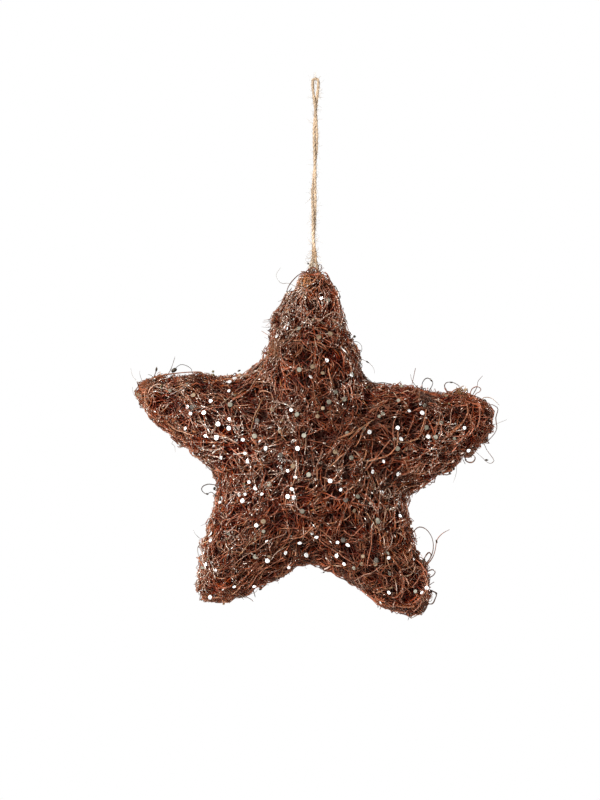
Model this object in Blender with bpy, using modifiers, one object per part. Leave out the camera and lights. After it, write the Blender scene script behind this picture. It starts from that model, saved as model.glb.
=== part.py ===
"""Star ornament: a padded five-armed star of tangled vine fibre with glued sequins, on a loop of twine.

Run it with: blender --background --python part.py
Metres, +Z up, and the star's front faces -Y. The origin is where the loop bears on its hook.
"""

import math
from collections import namedtuple

import bmesh
import bpy
import numpy as np
from mathutils import Matrix, Vector, noise
from mathutils.bvhtree import BVHTree

MM = 0.001

# The twine loop: one length of jute twine, doubled, with both ends pushed into the top arm
TWINE_DIAMETER = 1.4 * MM
TWINE_RADIUS = TWINE_DIAMETER / 2
TWINE_STEP = 3.6 * MM
TWINE_BEVEL_RESOLUTION = 2
LOOP_DROP = 107.0 * MM
EYE_RADIUS = 1.6 * MM
EYE_STEPS = 6
PAIR_HALF_GAP = TWINE_RADIUS + 0.1 * MM
LEG_SPREAD = 2.7 * MM
SOCKET_DEPTH = 8.0 * MM
SOCKET_CLEARANCE = 0.3 * MM
SOCKET_SIDES = 12
CUTTER_RISE = 9.0 * MM

# Stations of the two legs on their way down: the share of the loop's drop, half the distance
# between the legs, and how far the pair has turned about its own middle, in degrees
LEG_STATIONS = (
    (0.045, 1.5 * MM, 0),
    (0.085, 1.0 * MM, 20),
    (0.14, PAIR_HALF_GAP, 70),
    (0.27, PAIR_HALF_GAP, 160),
    (0.42, PAIR_HALF_GAP, 250),
    (0.57, PAIR_HALF_GAP, 330),
    (0.72, PAIR_HALF_GAP, 420),
    (0.84, PAIR_HALF_GAP, 500),
    (0.90, 1.1 * MM, 540),
    (0.95, 2.0 * MM, 540),
    (1.00, LEG_SPREAD, 540),
)
LAST_TURN = LEG_STATIONS[-1][2]

# The star. Its size is the mean length of its arms, and its form is kept as shares of that
STAR_REACH = 105.0 * MM
HUB_SHIFT = 1.4 * MM
HUB_RADIUS = 0.248 * STAR_REACH
KNEE_SHARE = 0.5
DEPTH_SHARE = 0.72
BLEND = 0.076 * STAR_REACH
FACET = 4.8 * MM
SLOPE_STEP = 0.1 * MM
NEWTON_STEPS = 6

# Each arm tapers from the hub over a knee to a round tip: length from the hub to the tip, lean
# clockwise from straight up, radius of the tip, how much further the knee leans, and its radius
Arm = namedtuple("Arm", "length lean tip_radius knee_lean knee_radius")
ARMS = {
    "top": Arm(0.99 * STAR_REACH, -1, 0.114 * STAR_REACH, -4, 0.257 * STAR_REACH),
    "right": Arm(0.972 * STAR_REACH, 80.5, 0.175 * STAR_REACH, -1, 0.276 * STAR_REACH),
    "lower_right": Arm(1.048 * STAR_REACH, 148, 0.17 * STAR_REACH, 3, 0.257 * STAR_REACH),
    "lower_left": Arm(1.0 * STAR_REACH, 216.5, 0.17 * STAR_REACH, 1, 0.29 * STAR_REACH),
    "left": Arm(1.029 * STAR_REACH, 288.5, 0.143 * STAR_REACH, -1, 0.257 * STAR_REACH),
}

# Swellings where the tangle bulges out of an arm: right of the hub, up from it, and radius
SWELLINGS = (
    (-0.19 * STAR_REACH, 0.676 * STAR_REACH, 0.095 * STAR_REACH),
    (0.714 * STAR_REACH, 0.229 * STAR_REACH, 0.1 * STAR_REACH),
)

# The tangle's relief: broad lumps, and swathes of strands that run along the arms
LUMP_WIDTH = 17.0 * MM
LUMP_HEIGHT = 2.2 * MM
SWATHE_WIDTH = 9.0 * MM
SWATHE_LENGTH = 26.0 * MM
SWATHE_HEIGHT = 1.8 * MM

# Sequins: round silvered discs, glued on flat
SEQUIN_DIAMETER = 3.0 * MM
SEQUIN_THICKNESS = 0.25 * MM
SEQUIN_CLEARANCE = 0.3 * MM
SEQUIN_SIDES = 10
SEQUIN_TILT = math.radians(12)
FRONT_SEQUIN_COUNTS = {"top": 7, "right": 6, "lower_right": 5, "lower_left": 7, "left": 9}
BACK_SEQUIN_COUNTS = {"top": 2, "right": 1, "lower_right": 2, "lower_left": 2, "left": 2}
SEQUIN_FIRST_SHARE = 0.08
SEQUIN_LAST_SHARE = 0.9
SEQUIN_SPREAD = 0.72

# The scatter: each number's share along and across an arm, and its turn, step on by these
ALONG_RATIO = 0.7549
ACROSS_RATIO = 0.5698
TURN_STEP = math.radians(137.5)

# How far off a look at the tangle starts
SIGHT = 100.0 * MM


def clear_scene():
    for thing in list(bpy.data.objects):
        bpy.data.objects.remove(thing, do_unlink=True)


def new_collection(name):
    collection = bpy.data.collections.new(name)
    bpy.context.scene.collection.children.link(collection)
    return collection


def make_material(name, colour, roughness, metallic=0.0):
    material = bpy.data.materials.new(name)
    material.use_nodes = True
    shader = material.node_tree.nodes["Principled BSDF"]
    shader.inputs["Base Color"].default_value = (*colour, 1.0)
    shader.inputs["Roughness"].default_value = roughness
    shader.inputs["Metallic"].default_value = metallic
    material.diffuse_color = (*colour, 1.0)
    return material


def add_object(name, data, collection, material=None):
    thing = bpy.data.objects.new(name, data)
    collection.objects.link(thing)
    if material:
        data.materials.append(material)
    return thing


def baked_mesh(thing):
    """The mesh of an object with its modifiers, or of a curve with its bevel."""
    graph = bpy.context.evaluated_depsgraph_get()
    return bpy.data.meshes.new_from_object(thing.evaluated_get(graph), depsgraph=graph)


def toward(lean, distance):
    """The point (right, up) beside the hub that is so far out along a lean."""
    angle = math.radians(lean)
    return np.array([math.sin(angle), math.cos(angle)]) * distance


def tip_centre(arm):
    return toward(arm.lean, arm.length - arm.tip_radius)


def knee_centre(arm):
    return toward(arm.lean + arm.knee_lean, arm.length * KNEE_SHARE)


def hub_place():
    """The middle of the star, hung so that its top arm ends where the loop's drop does."""
    top = ARMS["top"]
    reach = tip_centre(top)[1] + top.tip_radius
    return Vector((HUB_SHIFT, 0, -LOOP_DROP - reach))


def sections(arm):
    """The two tapered sections of an arm: start, end, start radius and end radius."""
    knee = knee_centre(arm)
    return (
        (np.zeros(2), knee, HUB_RADIUS, arm.knee_radius),
        (knee, tip_centre(arm), arm.knee_radius, arm.tip_radius),
    )


def outside_section(points, section):
    """How far points beside the hub are outside a tapered round section."""
    start, end, start_radius, end_radius = section
    axis = end - start
    flat = points[:, [0, 2]] - start
    share = np.clip(flat @ axis / (axis @ axis), 0, 1)
    off = flat - share[:, None] * axis
    deep = points[:, 1] / DEPTH_SHARE
    radius = start_radius + (end_radius - start_radius) * share
    return np.sqrt((off**2).sum(axis=1) + deep**2) - radius


def outside_arms(points):
    """How far points are outside each arm, one row for each arm."""
    rows = [[outside_section(points, section) for section in sections(arm)] for arm in ARMS.values()]
    return np.array([np.minimum(*row) for row in rows])


def soft_least(distances, blend):
    """The least of several rows of distances, with the rows run softly together."""
    least = distances.min(axis=0)
    return least - blend * np.log(np.exp(-(distances - least) / blend).sum(axis=0))


def outside_star(points):
    """How far points are outside the smooth star, with its arms and swellings run together."""
    star = soft_least(outside_arms(points), BLEND)
    for right, up, radius in SWELLINGS:
        from_centre = (points - (right, 0, up)) / (1, DEPTH_SHARE, 1)
        swelling = np.sqrt((from_centre**2).sum(axis=1)) - radius
        star = soft_least(np.array([star, swelling]), BLEND / 2)
    return star


def slope_of_star(points):
    """How fast the distance outside the star grows along X, Y and Z."""
    step = SLOPE_STEP
    slopes = [outside_star(points + step * axis) - outside_star(points - step * axis) for axis in np.eye(3)]
    return np.stack(slopes, axis=1) / (2 * step)


def onto_star(points):
    """Points moved onto the smooth star's surface by a few Newton steps."""
    for _ in range(NEWTON_STEPS):
        slope = slope_of_star(points)
        points = points - slope * (outside_star(points) / (slope**2).sum(axis=1))[:, None]
    return points


def relief_at(points):
    """How far the tangle stands out of the smooth star at each point, or in."""
    weights = np.exp(-outside_arms(points) / BLEND)
    weights /= weights.sum(axis=0)
    heights = np.array([LUMP_HEIGHT * noise.noise(Vector(point) / LUMP_WIDTH) for point in points])
    for number, (arm, weight) in enumerate(zip(ARMS.values(), weights, strict=True)):
        right, up = toward(arm.lean, 1)
        along = (points[:, 0] * right + points[:, 2] * up) / SWATHE_LENGTH
        across = (points[:, 0] * up - points[:, 2] * right) / SWATHE_WIDTH + 7 * number
        deep = points[:, 1] / SWATHE_WIDTH
        swathes = [noise.noise(Vector(place)) for place in zip(along, across, deep, strict=True)]
        heights += SWATHE_HEIGHT * weight * np.array(swathes)
    return heights


def mesh_points(mesh):
    flat = np.empty(len(mesh.vertices) * 3)
    mesh.vertices.foreach_get("co", flat)
    return flat.reshape(-1, 3)


def set_mesh_points(mesh, points):
    mesh.vertices.foreach_set("co", points.ravel())
    mesh.update()


def rough_star_mesh():
    """A ball at the end and a cone along each section, flattened, as overlapping bodies."""
    bm = bmesh.new()
    for arm in ARMS.values():
        for start, end, start_radius, end_radius in sections(arm):
            axis = Vector((end[0] - start[0], 0, end[1] - start[1]))
            middle = Vector(((start[0] + end[0]) / 2, 0, (start[1] + end[1]) / 2))
            turn = axis.to_track_quat("Z", "Y").to_matrix().to_4x4()
            bmesh.ops.create_cone(
                bm,
                cap_ends=True,
                segments=32,
                radius1=start_radius,
                radius2=end_radius,
                depth=axis.length,
                matrix=Matrix.Translation(middle) @ turn,
            )
            ball_place = Matrix.Translation((end[0], 0, end[1]))
            bmesh.ops.create_icosphere(bm, subdivisions=3, radius=end_radius, matrix=ball_place)
    bmesh.ops.scale(bm, vec=(1, DEPTH_SHARE, 1), verts=bm.verts)
    mesh = bpy.data.meshes.new("rough_star")
    bm.to_mesh(mesh)
    bm.free()
    return mesh


def remeshed(mesh, collection):
    """The same form as one skin of even facets."""
    thing = add_object("skin_in_work", mesh, collection)
    remesh = thing.modifiers.new("even_skin", "REMESH")
    remesh.mode = "VOXEL"
    remesh.voxel_size = FACET
    skin = baked_mesh(thing)
    bpy.data.objects.remove(thing)
    return skin


def drill_sockets(star, collection):
    """Blind holes in the tip of the top arm, one for each end of the twine."""
    hole_radius = TWINE_RADIUS + SOCKET_CLEARANCE
    length = CUTTER_RISE + SOCKET_DEPTH + SOCKET_CLEARANCE
    for side in (-1, 1):
        bpy.ops.mesh.primitive_cylinder_add(vertices=SOCKET_SIDES, radius=hole_radius, depth=length)
        cutter = bpy.context.object
        cutter.name = "socket_cutter"
        cutter.location = (side * LEG_SPREAD, 0, -LOOP_DROP + CUTTER_RISE - length / 2)
        cutter.hide_render = True
        cutter.display_type = "WIRE"
        for holder in list(cutter.users_collection):
            holder.objects.unlink(cutter)
        collection.objects.link(cutter)
        cut = star.modifiers.new("socket", "BOOLEAN")
        cut.operation = "DIFFERENCE"
        cut.solver = "EXACT"
        cut.object = cutter


def make_star(collection, cutters, material):
    skin = rough_star_mesh()
    for _ in range(2):
        skin = remeshed(skin, cutters)
        set_mesh_points(skin, onto_star(mesh_points(skin)))
    points = mesh_points(skin)
    slope = slope_of_star(points)
    outward = slope / np.sqrt((slope**2).sum(axis=1))[:, None]
    set_mesh_points(skin, points + outward * relief_at(points)[:, None] + np.array(hub_place()))
    bm = bmesh.new()
    bm.from_mesh(skin)
    bmesh.ops.triangulate(bm, faces=bm.faces)
    bm.to_mesh(skin)
    bm.free()
    star = add_object("star_body", skin, collection, material)
    drill_sockets(star, cutters)
    return star


def smooth_between(stations, place):
    """The values at a place on the smooth curve through stations, whose first value is the place."""
    index = max(i for i in range(len(stations) - 1) if stations[i][0] <= place)
    before, start, end, after = (
        np.array(stations[min(max(i, 0), len(stations) - 1)]) for i in range(index - 1, index + 3)
    )
    span = end[0] - start[0]
    share = (place - start[0]) / span
    slope_start = (end - before) / (end[0] - before[0]) * span
    slope_end = (after - start) / (after[0] - start[0]) * span
    return (
        (2 * share**3 - 3 * share**2 + 1) * start
        + (share**3 - 2 * share**2 + share) * slope_start
        + (3 * share**2 - 2 * share**3) * end
        + (share**3 - share**2) * slope_end
    )[1:]


def leg_points(side):
    """One leg of the loop, from under the eye down to the end in its socket."""
    first_drop = EYE_RADIUS - TWINE_RADIUS
    last_drop = LOOP_DROP + SOCKET_DEPTH
    stations = [(first_drop, EYE_RADIUS, 0)]
    stations += [(share * LOOP_DROP, half_gap, turn) for share, half_gap, turn in LEG_STATIONS]
    stations += [(last_drop, LEG_SPREAD, LAST_TURN)]
    steps = round((last_drop - first_drop) / TWINE_STEP)
    points = []
    for drop in np.linspace(first_drop, last_drop, steps + 1):
        half_gap, turn = smooth_between(stations, min(drop, last_drop - MM * 1e-6))
        angle = math.radians(turn)
        points.append(Vector((side * half_gap * math.cos(angle), side * half_gap * math.sin(angle), -drop)))
    return points


def make_twine_loop(collection, material):
    eye_centre = TWINE_RADIUS - EYE_RADIUS
    eye = []
    for step in range(1, EYE_STEPS):
        angle = math.pi * (1 - step / EYE_STEPS)
        eye.append(Vector((EYE_RADIUS * math.cos(angle), 0, eye_centre + EYE_RADIUS * math.sin(angle))))
    route = leg_points(-1)[::-1] + eye + leg_points(1)
    curve = bpy.data.curves.new("twine_loop", "CURVE")
    curve.dimensions = "3D"
    curve.bevel_depth = TWINE_RADIUS
    curve.bevel_resolution = TWINE_BEVEL_RESOLUTION
    curve.use_fill_caps = True
    spline = curve.splines.new("POLY")
    spline.points.add(len(route) - 1)
    for point, place in zip(spline.points, route, strict=True):
        point.co = (*place, 1)
    return add_object("twine_loop", curve, collection, material)


def sequin_spot(arm, number):
    """A scattered spot on an arm, as (right, up) beside the hub."""
    share = SEQUIN_FIRST_SHARE + (SEQUIN_LAST_SHARE - SEQUIN_FIRST_SHARE) * (number * ALONG_RATIO % 1)
    half_width = HUB_RADIUS + (arm.tip_radius - HUB_RADIUS) * share
    out = toward(arm.lean, 1)
    along = share * (arm.length - arm.tip_radius)
    across = (2 * (number * ACROSS_RATIO % 1) - 1) * SEQUIN_SPREAD * half_width
    return out * along + across * np.array([out[1], -out[0]])


def sequin_seat(spot, facing, number, skin):
    """Where a look along Y, from the front (-1) or behind (1), meets the tangle, turned to lie on it."""
    start = hub_place() + Vector((spot[0], facing * SIGHT, spot[1]))
    surface, _, _, _ = skin.ray_cast(start, Vector((0, -facing, 0)))
    normal = Vector(slope_of_star(np.array([surface - hub_place()]))[0])
    turn = normal.to_track_quat("Z", "Y").to_matrix().to_4x4()
    tilt_axis = Matrix.Rotation(number * TURN_STEP, 4, "Z") @ Vector((1, 0, 0))
    return Matrix.Translation(surface) @ turn @ Matrix.Rotation(SEQUIN_TILT, 4, tilt_axis)


def highest_under(seat, skin):
    """How far the tangle stands up through a disc's seat."""
    down = seat.to_3x3() @ Vector((0, 0, -1))
    highest = 0.0
    for ring_radius in (SEQUIN_DIAMETER / 4, SEQUIN_DIAMETER / 2):
        for side in range(SEQUIN_SIDES):
            angle = 2 * math.pi * side / SEQUIN_SIDES
            start = seat @ Vector((ring_radius * math.cos(angle), ring_radius * math.sin(angle), SIGHT))
            hit, _, _, _ = skin.ray_cast(start, down)
            if hit:
                highest = max(highest, (seat.inverted() @ hit).z)
    return highest


def make_sequin(name, seat, skin, collection, material):
    bm = bmesh.new()
    bmesh.ops.create_cone(
        bm,
        cap_ends=True,
        segments=SEQUIN_SIDES,
        radius1=SEQUIN_DIAMETER / 2,
        radius2=SEQUIN_DIAMETER / 2,
        depth=SEQUIN_THICKNESS,
    )
    mesh = bpy.data.meshes.new(name)
    bm.to_mesh(mesh)
    bm.free()
    sequin = add_object(name, mesh, collection, material)
    lift = highest_under(seat, skin) + SEQUIN_CLEARANCE + SEQUIN_THICKNESS / 2
    sequin.matrix_world = seat @ Matrix.Translation((0, 0, lift))


def make_sequins(star, collection, material):
    skin = BVHTree.FromPolygons(
        [vertex.co for vertex in star.data.vertices],
        [polygon.vertices for polygon in star.data.polygons],
    )
    number = 0
    for facing, counts in ((-1, FRONT_SEQUIN_COUNTS), (1, BACK_SEQUIN_COUNTS)):
        for arm_name, count in counts.items():
            for _ in range(count):
                number += 1
                seat = sequin_seat(sequin_spot(ARMS[arm_name], number), facing, number, skin)
                make_sequin(f"sequin_{number:02d}", seat, skin, collection, material)


def main():
    clear_scene()
    parts = new_collection("star_ornament")
    cutters = new_collection("cutters")
    fibre = make_material("fibre", (0.150, 0.055, 0.032), 0.75)
    twine = make_material("twine", (0.560, 0.400, 0.240), 0.9)
    silver = make_material("silver_sequin", (0.850, 0.860, 0.860), 0.2, metallic=1.0)
    star = make_star(parts, cutters, fibre)
    make_twine_loop(parts, twine)
    make_sequins(star, parts, silver)


main()
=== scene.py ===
"""Looks of the star ornament: vine fibre, sequins, glitter and a jute loop, dressed on the CAD frame."""

import math
from collections import namedtuple

import bpy
import numpy as np
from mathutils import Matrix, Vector
from mathutils.bvhtree import BVHTree


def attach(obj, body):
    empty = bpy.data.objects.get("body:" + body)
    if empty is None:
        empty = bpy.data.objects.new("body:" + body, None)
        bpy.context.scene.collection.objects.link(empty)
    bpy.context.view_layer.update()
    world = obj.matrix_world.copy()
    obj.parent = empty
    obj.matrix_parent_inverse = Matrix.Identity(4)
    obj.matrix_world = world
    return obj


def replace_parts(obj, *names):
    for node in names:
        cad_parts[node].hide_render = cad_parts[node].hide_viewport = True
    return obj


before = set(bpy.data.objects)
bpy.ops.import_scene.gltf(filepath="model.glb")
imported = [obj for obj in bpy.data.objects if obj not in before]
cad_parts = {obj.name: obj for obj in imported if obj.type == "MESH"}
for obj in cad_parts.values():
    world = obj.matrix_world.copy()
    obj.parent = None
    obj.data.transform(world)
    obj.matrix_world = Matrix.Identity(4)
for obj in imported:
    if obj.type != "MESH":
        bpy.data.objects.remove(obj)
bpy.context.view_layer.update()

MM = 0.001
BODY = "root"

# Where each piece's random draws start
DRAWS = {
    "twine": 50,
    "tangle": 100,
    "clumps": 160,
    "tendrils": 170,
    "shown": 180,
    "behind": 190,
    "grains": 200,
    "sequins": 300,
}

# The photograph's frame: its scale at the star, and the pixel of the hook, which is the origin. The
# floor fades to white between two distances from its middle
MM_PER_PIXEL = 0.57
HOOK_PIXEL = (315.5, 80.0)
PICTURE_WIDE, PICTURE_HIGH = 600, 800
CAMERA_DISTANCE = 1.9
SENSOR = 36.0
FLOOR_LEVEL = -0.62
FLOOR_RADIUS = 0.9
FLOOR_THICKNESS = 4 * MM
FLOOR_SIDES = 64
FADE_FROM, FADE_TO = 0.25, 0.85

# The twine loop's route: the CAD's, but turned and spread as the photograph shows it low down
TWINE_DIAMETER = 1.4 * MM
TWINE_RADIUS = TWINE_DIAMETER / 2
LOOP_DROP = 107.0 * MM
EYE_RADIUS = 1.6 * MM
PAIR_HALF_GAP = TWINE_RADIUS + 0.1 * MM
LEG_SPREAD = 1.9 * MM
SOCKET_DEPTH = 8.0 * MM
# The two legs on their way down: the share of the loop's drop, half the distance between the legs,
# and how far the pair has turned about its own middle, in degrees
LEG_STATIONS = (
    (0.045, 1.5 * MM, 0), (0.085, 1.0 * MM, 20), (0.14, PAIR_HALF_GAP, 70), (0.27, PAIR_HALF_GAP, 160),
    (0.42, PAIR_HALF_GAP, 250), (0.57, PAIR_HALF_GAP, 330), (0.72, PAIR_HALF_GAP, 400),
    (0.82, PAIR_HALF_GAP, 435), (0.89, PAIR_HALF_GAP, 460), (0.96, PAIR_HALF_GAP, 505),
    (1.00, LEG_SPREAD, 540),
)
# How far the pair drifts to the right, by the share of the loop's drop
LEG_DRIFT = (
    (0.37, 0.0), (0.48, -0.45 * MM), (0.59, -0.95 * MM), (0.72, -0.85 * MM), (0.85, -1.15 * MM),
    (0.91, -0.75 * MM), (1.0, -0.6 * MM),
)
TWINE_STEP = 0.55 * MM
EYE_STEPS = 12

# The jute: two plies in a lobed section, one turn in each pitch, with its fuzz and frayed hairs. Its colour
# is painted darker in the grooves between the plies, as painted shade
TWINE_SIDES = 14
PLIES = 2
PLY_GROOVE = 0.30
PLY_PITCH = 5.2 * MM
JUTE = (0.40, 0.295, 0.20)
YARN_SWELL = 1.26
FUZZ_HAIRS = 620
FUZZ_LENGTH = (1.5 * MM, 5.0 * MM)
FUZZ_RADIUS = 0.07 * MM
FUZZ_RINGS, FUZZ_CURL = 6, 200
FUZZ_ROOT = 0.1 * MM
UNEVEN_SHARE, UNEVEN_LENGTH = 0.07, 4 * MM
# Low down the twine swells and browns: at what height, over what length, by what share, and how much
# of its red, green and blue it loses
SWELL_AT = -99.0 * MM
SWELL_LENGTH = 3.6 * MM
SWELL_SHARE = 0.30
SWELL_DARKENING = (0.35, 0.45, 0.55)
# Pale wisps fan out where the twine enters the star. Each leans to the side by one of the leans
WISPS = 26
WISP_START = -102.0 * MM
WISP_LENGTH = (5.5 * MM, 8.5 * MM)
WISP_LEANS = (-0.45, 0.3, -0.55, 0.2, -0.35, 0.35, -0.9, 0.25)
WISP_RADIUS = 0.19 * MM
WISP_RINGS, WISP_CURL = 14, 170
WISP_TINTS = ((5, (0.50, 0.41, 0.31)), (2, (0.30, 0.18, 0.09)), (1, (0.14, 0.07, 0.04)))
# Frayed hairs run down beside the twine between two heights
FRAYED_HAIRS = 60
FRAYED_FROM, FRAYED_TO = -94.0 * MM, -105.0 * MM
FRAYED_LENGTH = (4.0 * MM, 9.0 * MM)
FRAYED_RADIUS = 0.16 * MM
FRAYED_RINGS, FRAYED_CURL = 12, 210

# The star's hub, and which way its arms lean, clockwise from straight up
HUB = np.array((1.4, 0.0, -211.0)) * MM
ARM_LEANS = (-1, 80.5, 148, 216.5, 288.5)

# Small rises of the outline over the CAD's, by photograph pixel: place, and rise in millimetres
OUTLINE_RISES = (
    (194, 454, 0.4), (176, 443, 0.9), (146, 416, -1.6), (140, 408, -3.5), (136, 399, -2.2),
    (139, 389, 3.1), (144, 380, -0.7), (154, 377, -1.2), (177, 372, -4.1), (188, 372, -3.1),
    (218, 375, -2.3), (229, 375, -3.4), (261, 354, -2.4), (267, 337, -2.1), (268, 327, -5.5),
    (272, 317, -0.5), (278, 309, 0.7), (285, 301, 0.5), (300, 273, -1.6), (335, 285, -3.4),
    (342, 304, -1.1), (343, 315, -1.4), (349, 337, 1.0), (359, 354, 2.3), (360, 364, -1.8),
    (365, 373, -2.7), (373, 380, -4.6), (383, 381, -2.1), (396, 381, -1.0), (389, 389, 0.4),
    (406, 384, -1.4), (416, 384, -5.5), (426, 386, -5.5), (436, 388, -5.5), (446, 389, -5.5),
    (466, 389, -1.5), (476, 393, -2.9), (496, 425, -2.3), (492, 435, -1.9), (486, 443, -5.5),
    (478, 450, -5.5), (474, 460, -0.3), (456, 461, 1.0), (449, 469, 3.9), (431, 478, 3.1),
    (423, 484, 0.8), (416, 491, 3.5), (409, 498, 0.6), (409, 518, 2.1), (413, 528, -2.1), (413, 538, 0.9),
    (417, 547, -4.6), (423, 557, -1.8), (431, 573, -3.8), (434, 585, -4.2), (432, 597, -3.4),
    (427, 606, -1.6), (409, 613, 0.9), (389, 610, -3.6), (371, 599, -1.9), (363, 593, -2.0),
    (355, 586, -1.6), (336, 576, 0.4), (327, 570, 2.7), (317, 567, 1.6), (307, 565, 1.6),
    (298, 569, -3.6), (278, 574, 3.1), (269, 578, 5.5), (261, 585, 2.4), (235, 600, -4.9),
    (226, 605, -2.8), (206, 598, 1.8), (199, 591, 4.6), (194, 582, -3.8), (194, 572, -4.1),
    (202, 544, 3.9), (211, 505, -5.0), (214, 495, -2.1), (214, 486, 0.4), (215, 475, 1.0),
    (161, 373, -1.9), (205, 375, 0.5), (286, 295, 1.7), (296, 290, -2.6), (331, 277, -2.4),
    (337, 293, 1.9), (347, 324, -1.6), (356, 341, -3.7), (401, 615, -0.8), (254, 590, 0.6),
    (201, 555, 0.7), (207, 528, 0.5), (206, 520, -1.0), (200, 461, -1.0), (482, 399, 1.1),
    (247, 595, -0.8), (156, 425, -0.8), (237, 371, -2.1), (442, 473, -0.9), (490, 403, -0.9),
    (486, 452, -2.2), (169, 370, -0.3), (428, 565, -0.3),
)
RISE_RADIUS = 6.5

# The strands of the tangle, from the deepest layer out: how many, rings in each, the step between
# rings, radius, how far under the skin they run, how far they weave in and out, how tightly they
# curl and how unsteadily (radians a metre), how strongly they follow the outline, how far their
# ends stand off, and colours
Layer = namedtuple("Layer", "name count rings step radius sink weave curl wander grain lift palette")
LAYERS = (
    Layer("fibre_deep", 700, 25, 5.0 * MM, 0.45 * MM, (4.0 * MM, 6.4 * MM), 1.0 * MM, 15, 30, 0.2, 0.0,
          "deep"),
    Layer("fibre_middle", 980, 33, 3.3 * MM, 0.38 * MM, (2.0 * MM, 4.2 * MM), 1.7 * MM, 18, 36, 0.20, 0.0,
          "middle"),
    Layer("fibre_outer", 980, 33, 3.0 * MM, 0.36 * MM, (0.7 * MM, 2.7 * MM), 1.7 * MM, 17, 40, 0.26,
          0.9 * MM, "outer"),
    Layer("fibre_curls", 860, 33, 2.4 * MM, 0.31 * MM, (0.5 * MM, 2.4 * MM), 1.4 * MM, 38, 80, 0.14,
          1.0 * MM, "outer"),
)
STRAND_SIDES = 3
WEAVE_LENGTH = (12.0 * MM, 40.0 * MM)
CURL_MEMORY = 12.0 * MM
KINK_SHARE = 0.03
KINK_TURN = 0.8
THICK_SHARE = 0.06
THICK_RATIO = 1.4
UNEVEN_RADII = 0.25

# Strands run side by side in bundles: how many, how far apart they start, and each one's own share
BUNDLE = 3
BUNDLE_SPREAD = 1.3 * MM
OWN_SHARE = 0.4

# How strongly strands turn along the grain away from the outline, and how much more so at it
INNER_PULL = 0.25
EDGE_PULL = 1.5

# What share of the strands' ends stand off, and over how many rings
LOOSE_END_SHARE = 0.45
LOOSE_END_RINGS = 4

# Unevenness of the tangle: open pits where the strands dive, and bumps, on one lattice of noise
LATTICE = 32
RELIEF_WIDTH = 4.2 * MM
RELIEF_SEED = 7
PIT_LEVEL, BUMP_LEVEL, RELIEF_BLEND = 0.55, 0.45, 0.3
PIT_DEPTH = 4.0 * MM
BUMP_HEIGHT = 1.0 * MM

# Light doesn't reach far into the tangle: a strand's colour darkens with its depth, and reddens as it
# darkens, by powers of its shade in red, green and blue
LIT_DEPTH = 0.6 * MM
DARKENING_DEPTH = 1.3 * MM
DARKEST = 0.04
REDDENING = (0.60, 1.58, 3.2)
# A lighter strand is also greyer, and a darker one redder: powers of its tone in red, green and blue
GREYING = (0.85, 1.18, 1.58)

# The matted core lies so deep under the skin, its near-black colour painted shade for the depth of the
# tangle that light doesn't reach. Its points settle there in steps, and any that lie much too shallow go to
# the hub
CORE_DEPTH = 6.5 * MM
CORE_STEPS = (0.3, 0.6, 0.8, 1.0)
CORE_SHALLOW = 0.5

# Short strays that stand off the tangle all round
STRAYS = Layer("fibre_strays", 520, 11, 0.75 * MM, 0.15 * MM, (1.0 * MM, 2.0 * MM), 0.0, 170, 150, 0.0,
               0.0, "outer")
STRAY_RISE = (0.1, 0.7)
STRAY_HEIGHT = 1.2 * MM
STRAY_RETURN = 0.35

# Strand colours: how common each is, and its colour. Each strand has a tone of its own, and lighter and
# darker bands along it. The deep layer's colours, and less so the middle layer's, are darker and redder
# than the outer's: painted shade for the depth they lie at
PALETTES = {
    "deep": ((5, (0.065, 0.0115, 0.0025)), (3, (0.033, 0.0075, 0.0015)), (1, (0.088, 0.021, 0.005))),
    "middle": (
        (5, (0.136, 0.025, 0.007)),
        (3, (0.074, 0.0135, 0.0035)),
        (2, (0.158, 0.047, 0.018)),
        (1, (0.043, 0.010, 0.0035)),
    ),
    "outer": (
        (7, (0.158, 0.038, 0.015)),
        (4, (0.096, 0.0215, 0.007)),
        (2, (0.184, 0.070, 0.031)),
        (0.5, (0.245, 0.145, 0.095)),
        (3, (0.045, 0.0095, 0.003)),
    ),
}
SHEEN_TINT = (1.0, 0.75, 0.56, 1.0)
TONE_SPREAD = 0.38
TONE_LIMITS = (-0.9, 0.42)
BANDING, BAND_TURNS = 0.3, (0.3, 0.9)
FROST_COLOUR = np.array((0.30, 0.25, 0.20))

# Broad lighter and darker places, by photograph pixel: place, radius and tone
TONED = (
    (168, 404, 20, 2.72), (228, 440, 28, 2.72), (260, 548, 20, 0.37), (380, 564, 14, 0.38),
    (284, 380, 14, 2.50), (212, 588, 14, 2.14), (424, 588, 20, 2.08), (416, 464, 14, 2.03),
    (404, 524, 14, 1.88), (308, 400, 14, 0.54), (388, 416, 14, 0.55), (340, 492, 14, 1.76),
    (208, 532, 40, 1.74), (316, 464, 14, 0.60), (228, 400, 14, 0.63), (204, 460, 14, 0.64),
    (160, 424, 14, 0.65), (348, 428, 40, 0.65), (372, 488, 14, 0.65), (316, 300, 20, 1.53),
    (472, 448, 40, 1.52), (296, 504, 14, 1.49), (236, 548, 14, 0.68), (340, 368, 14, 1.44),
    (284, 428, 14, 0.70), (184, 384, 14, 0.70), (320, 424, 14, 1.43), (196, 424, 14, 1.30),
    (240, 504, 20, 1.29), (272, 336, 28, 0.83),
)

# Matted clumps, by photograph pixel: place, radius and colour
CLUMPS = (
    (302, 283.5, 6.5, (0.27, 0.105, 0.038)), (275, 345, 7, (0.15, 0.060, 0.028)),
    (145, 388, 6, (0.17, 0.050, 0.020)), (188, 377, 6, (0.075, 0.030, 0.018)),
    (428, 398, 6, (0.050, 0.020, 0.013)), (470, 456, 5, (0.13, 0.045, 0.020)),
    (464, 391, 4, (0.17, 0.090, 0.040)),
)
CLUMPS_BEHIND = 7
CLUMP_SPREAD = 0.5
CLUMP_FACING_BACK = 0.3
CLUMP_TONES = 0.35
CLUMP = Layer("fibre_clumps", 60, 10, 0.75 * MM, 0.2 * MM, (-0.6 * MM, 1.0 * MM), 0.3 * MM, 240, 260, 0.0,
              0.0, "outer")

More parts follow.
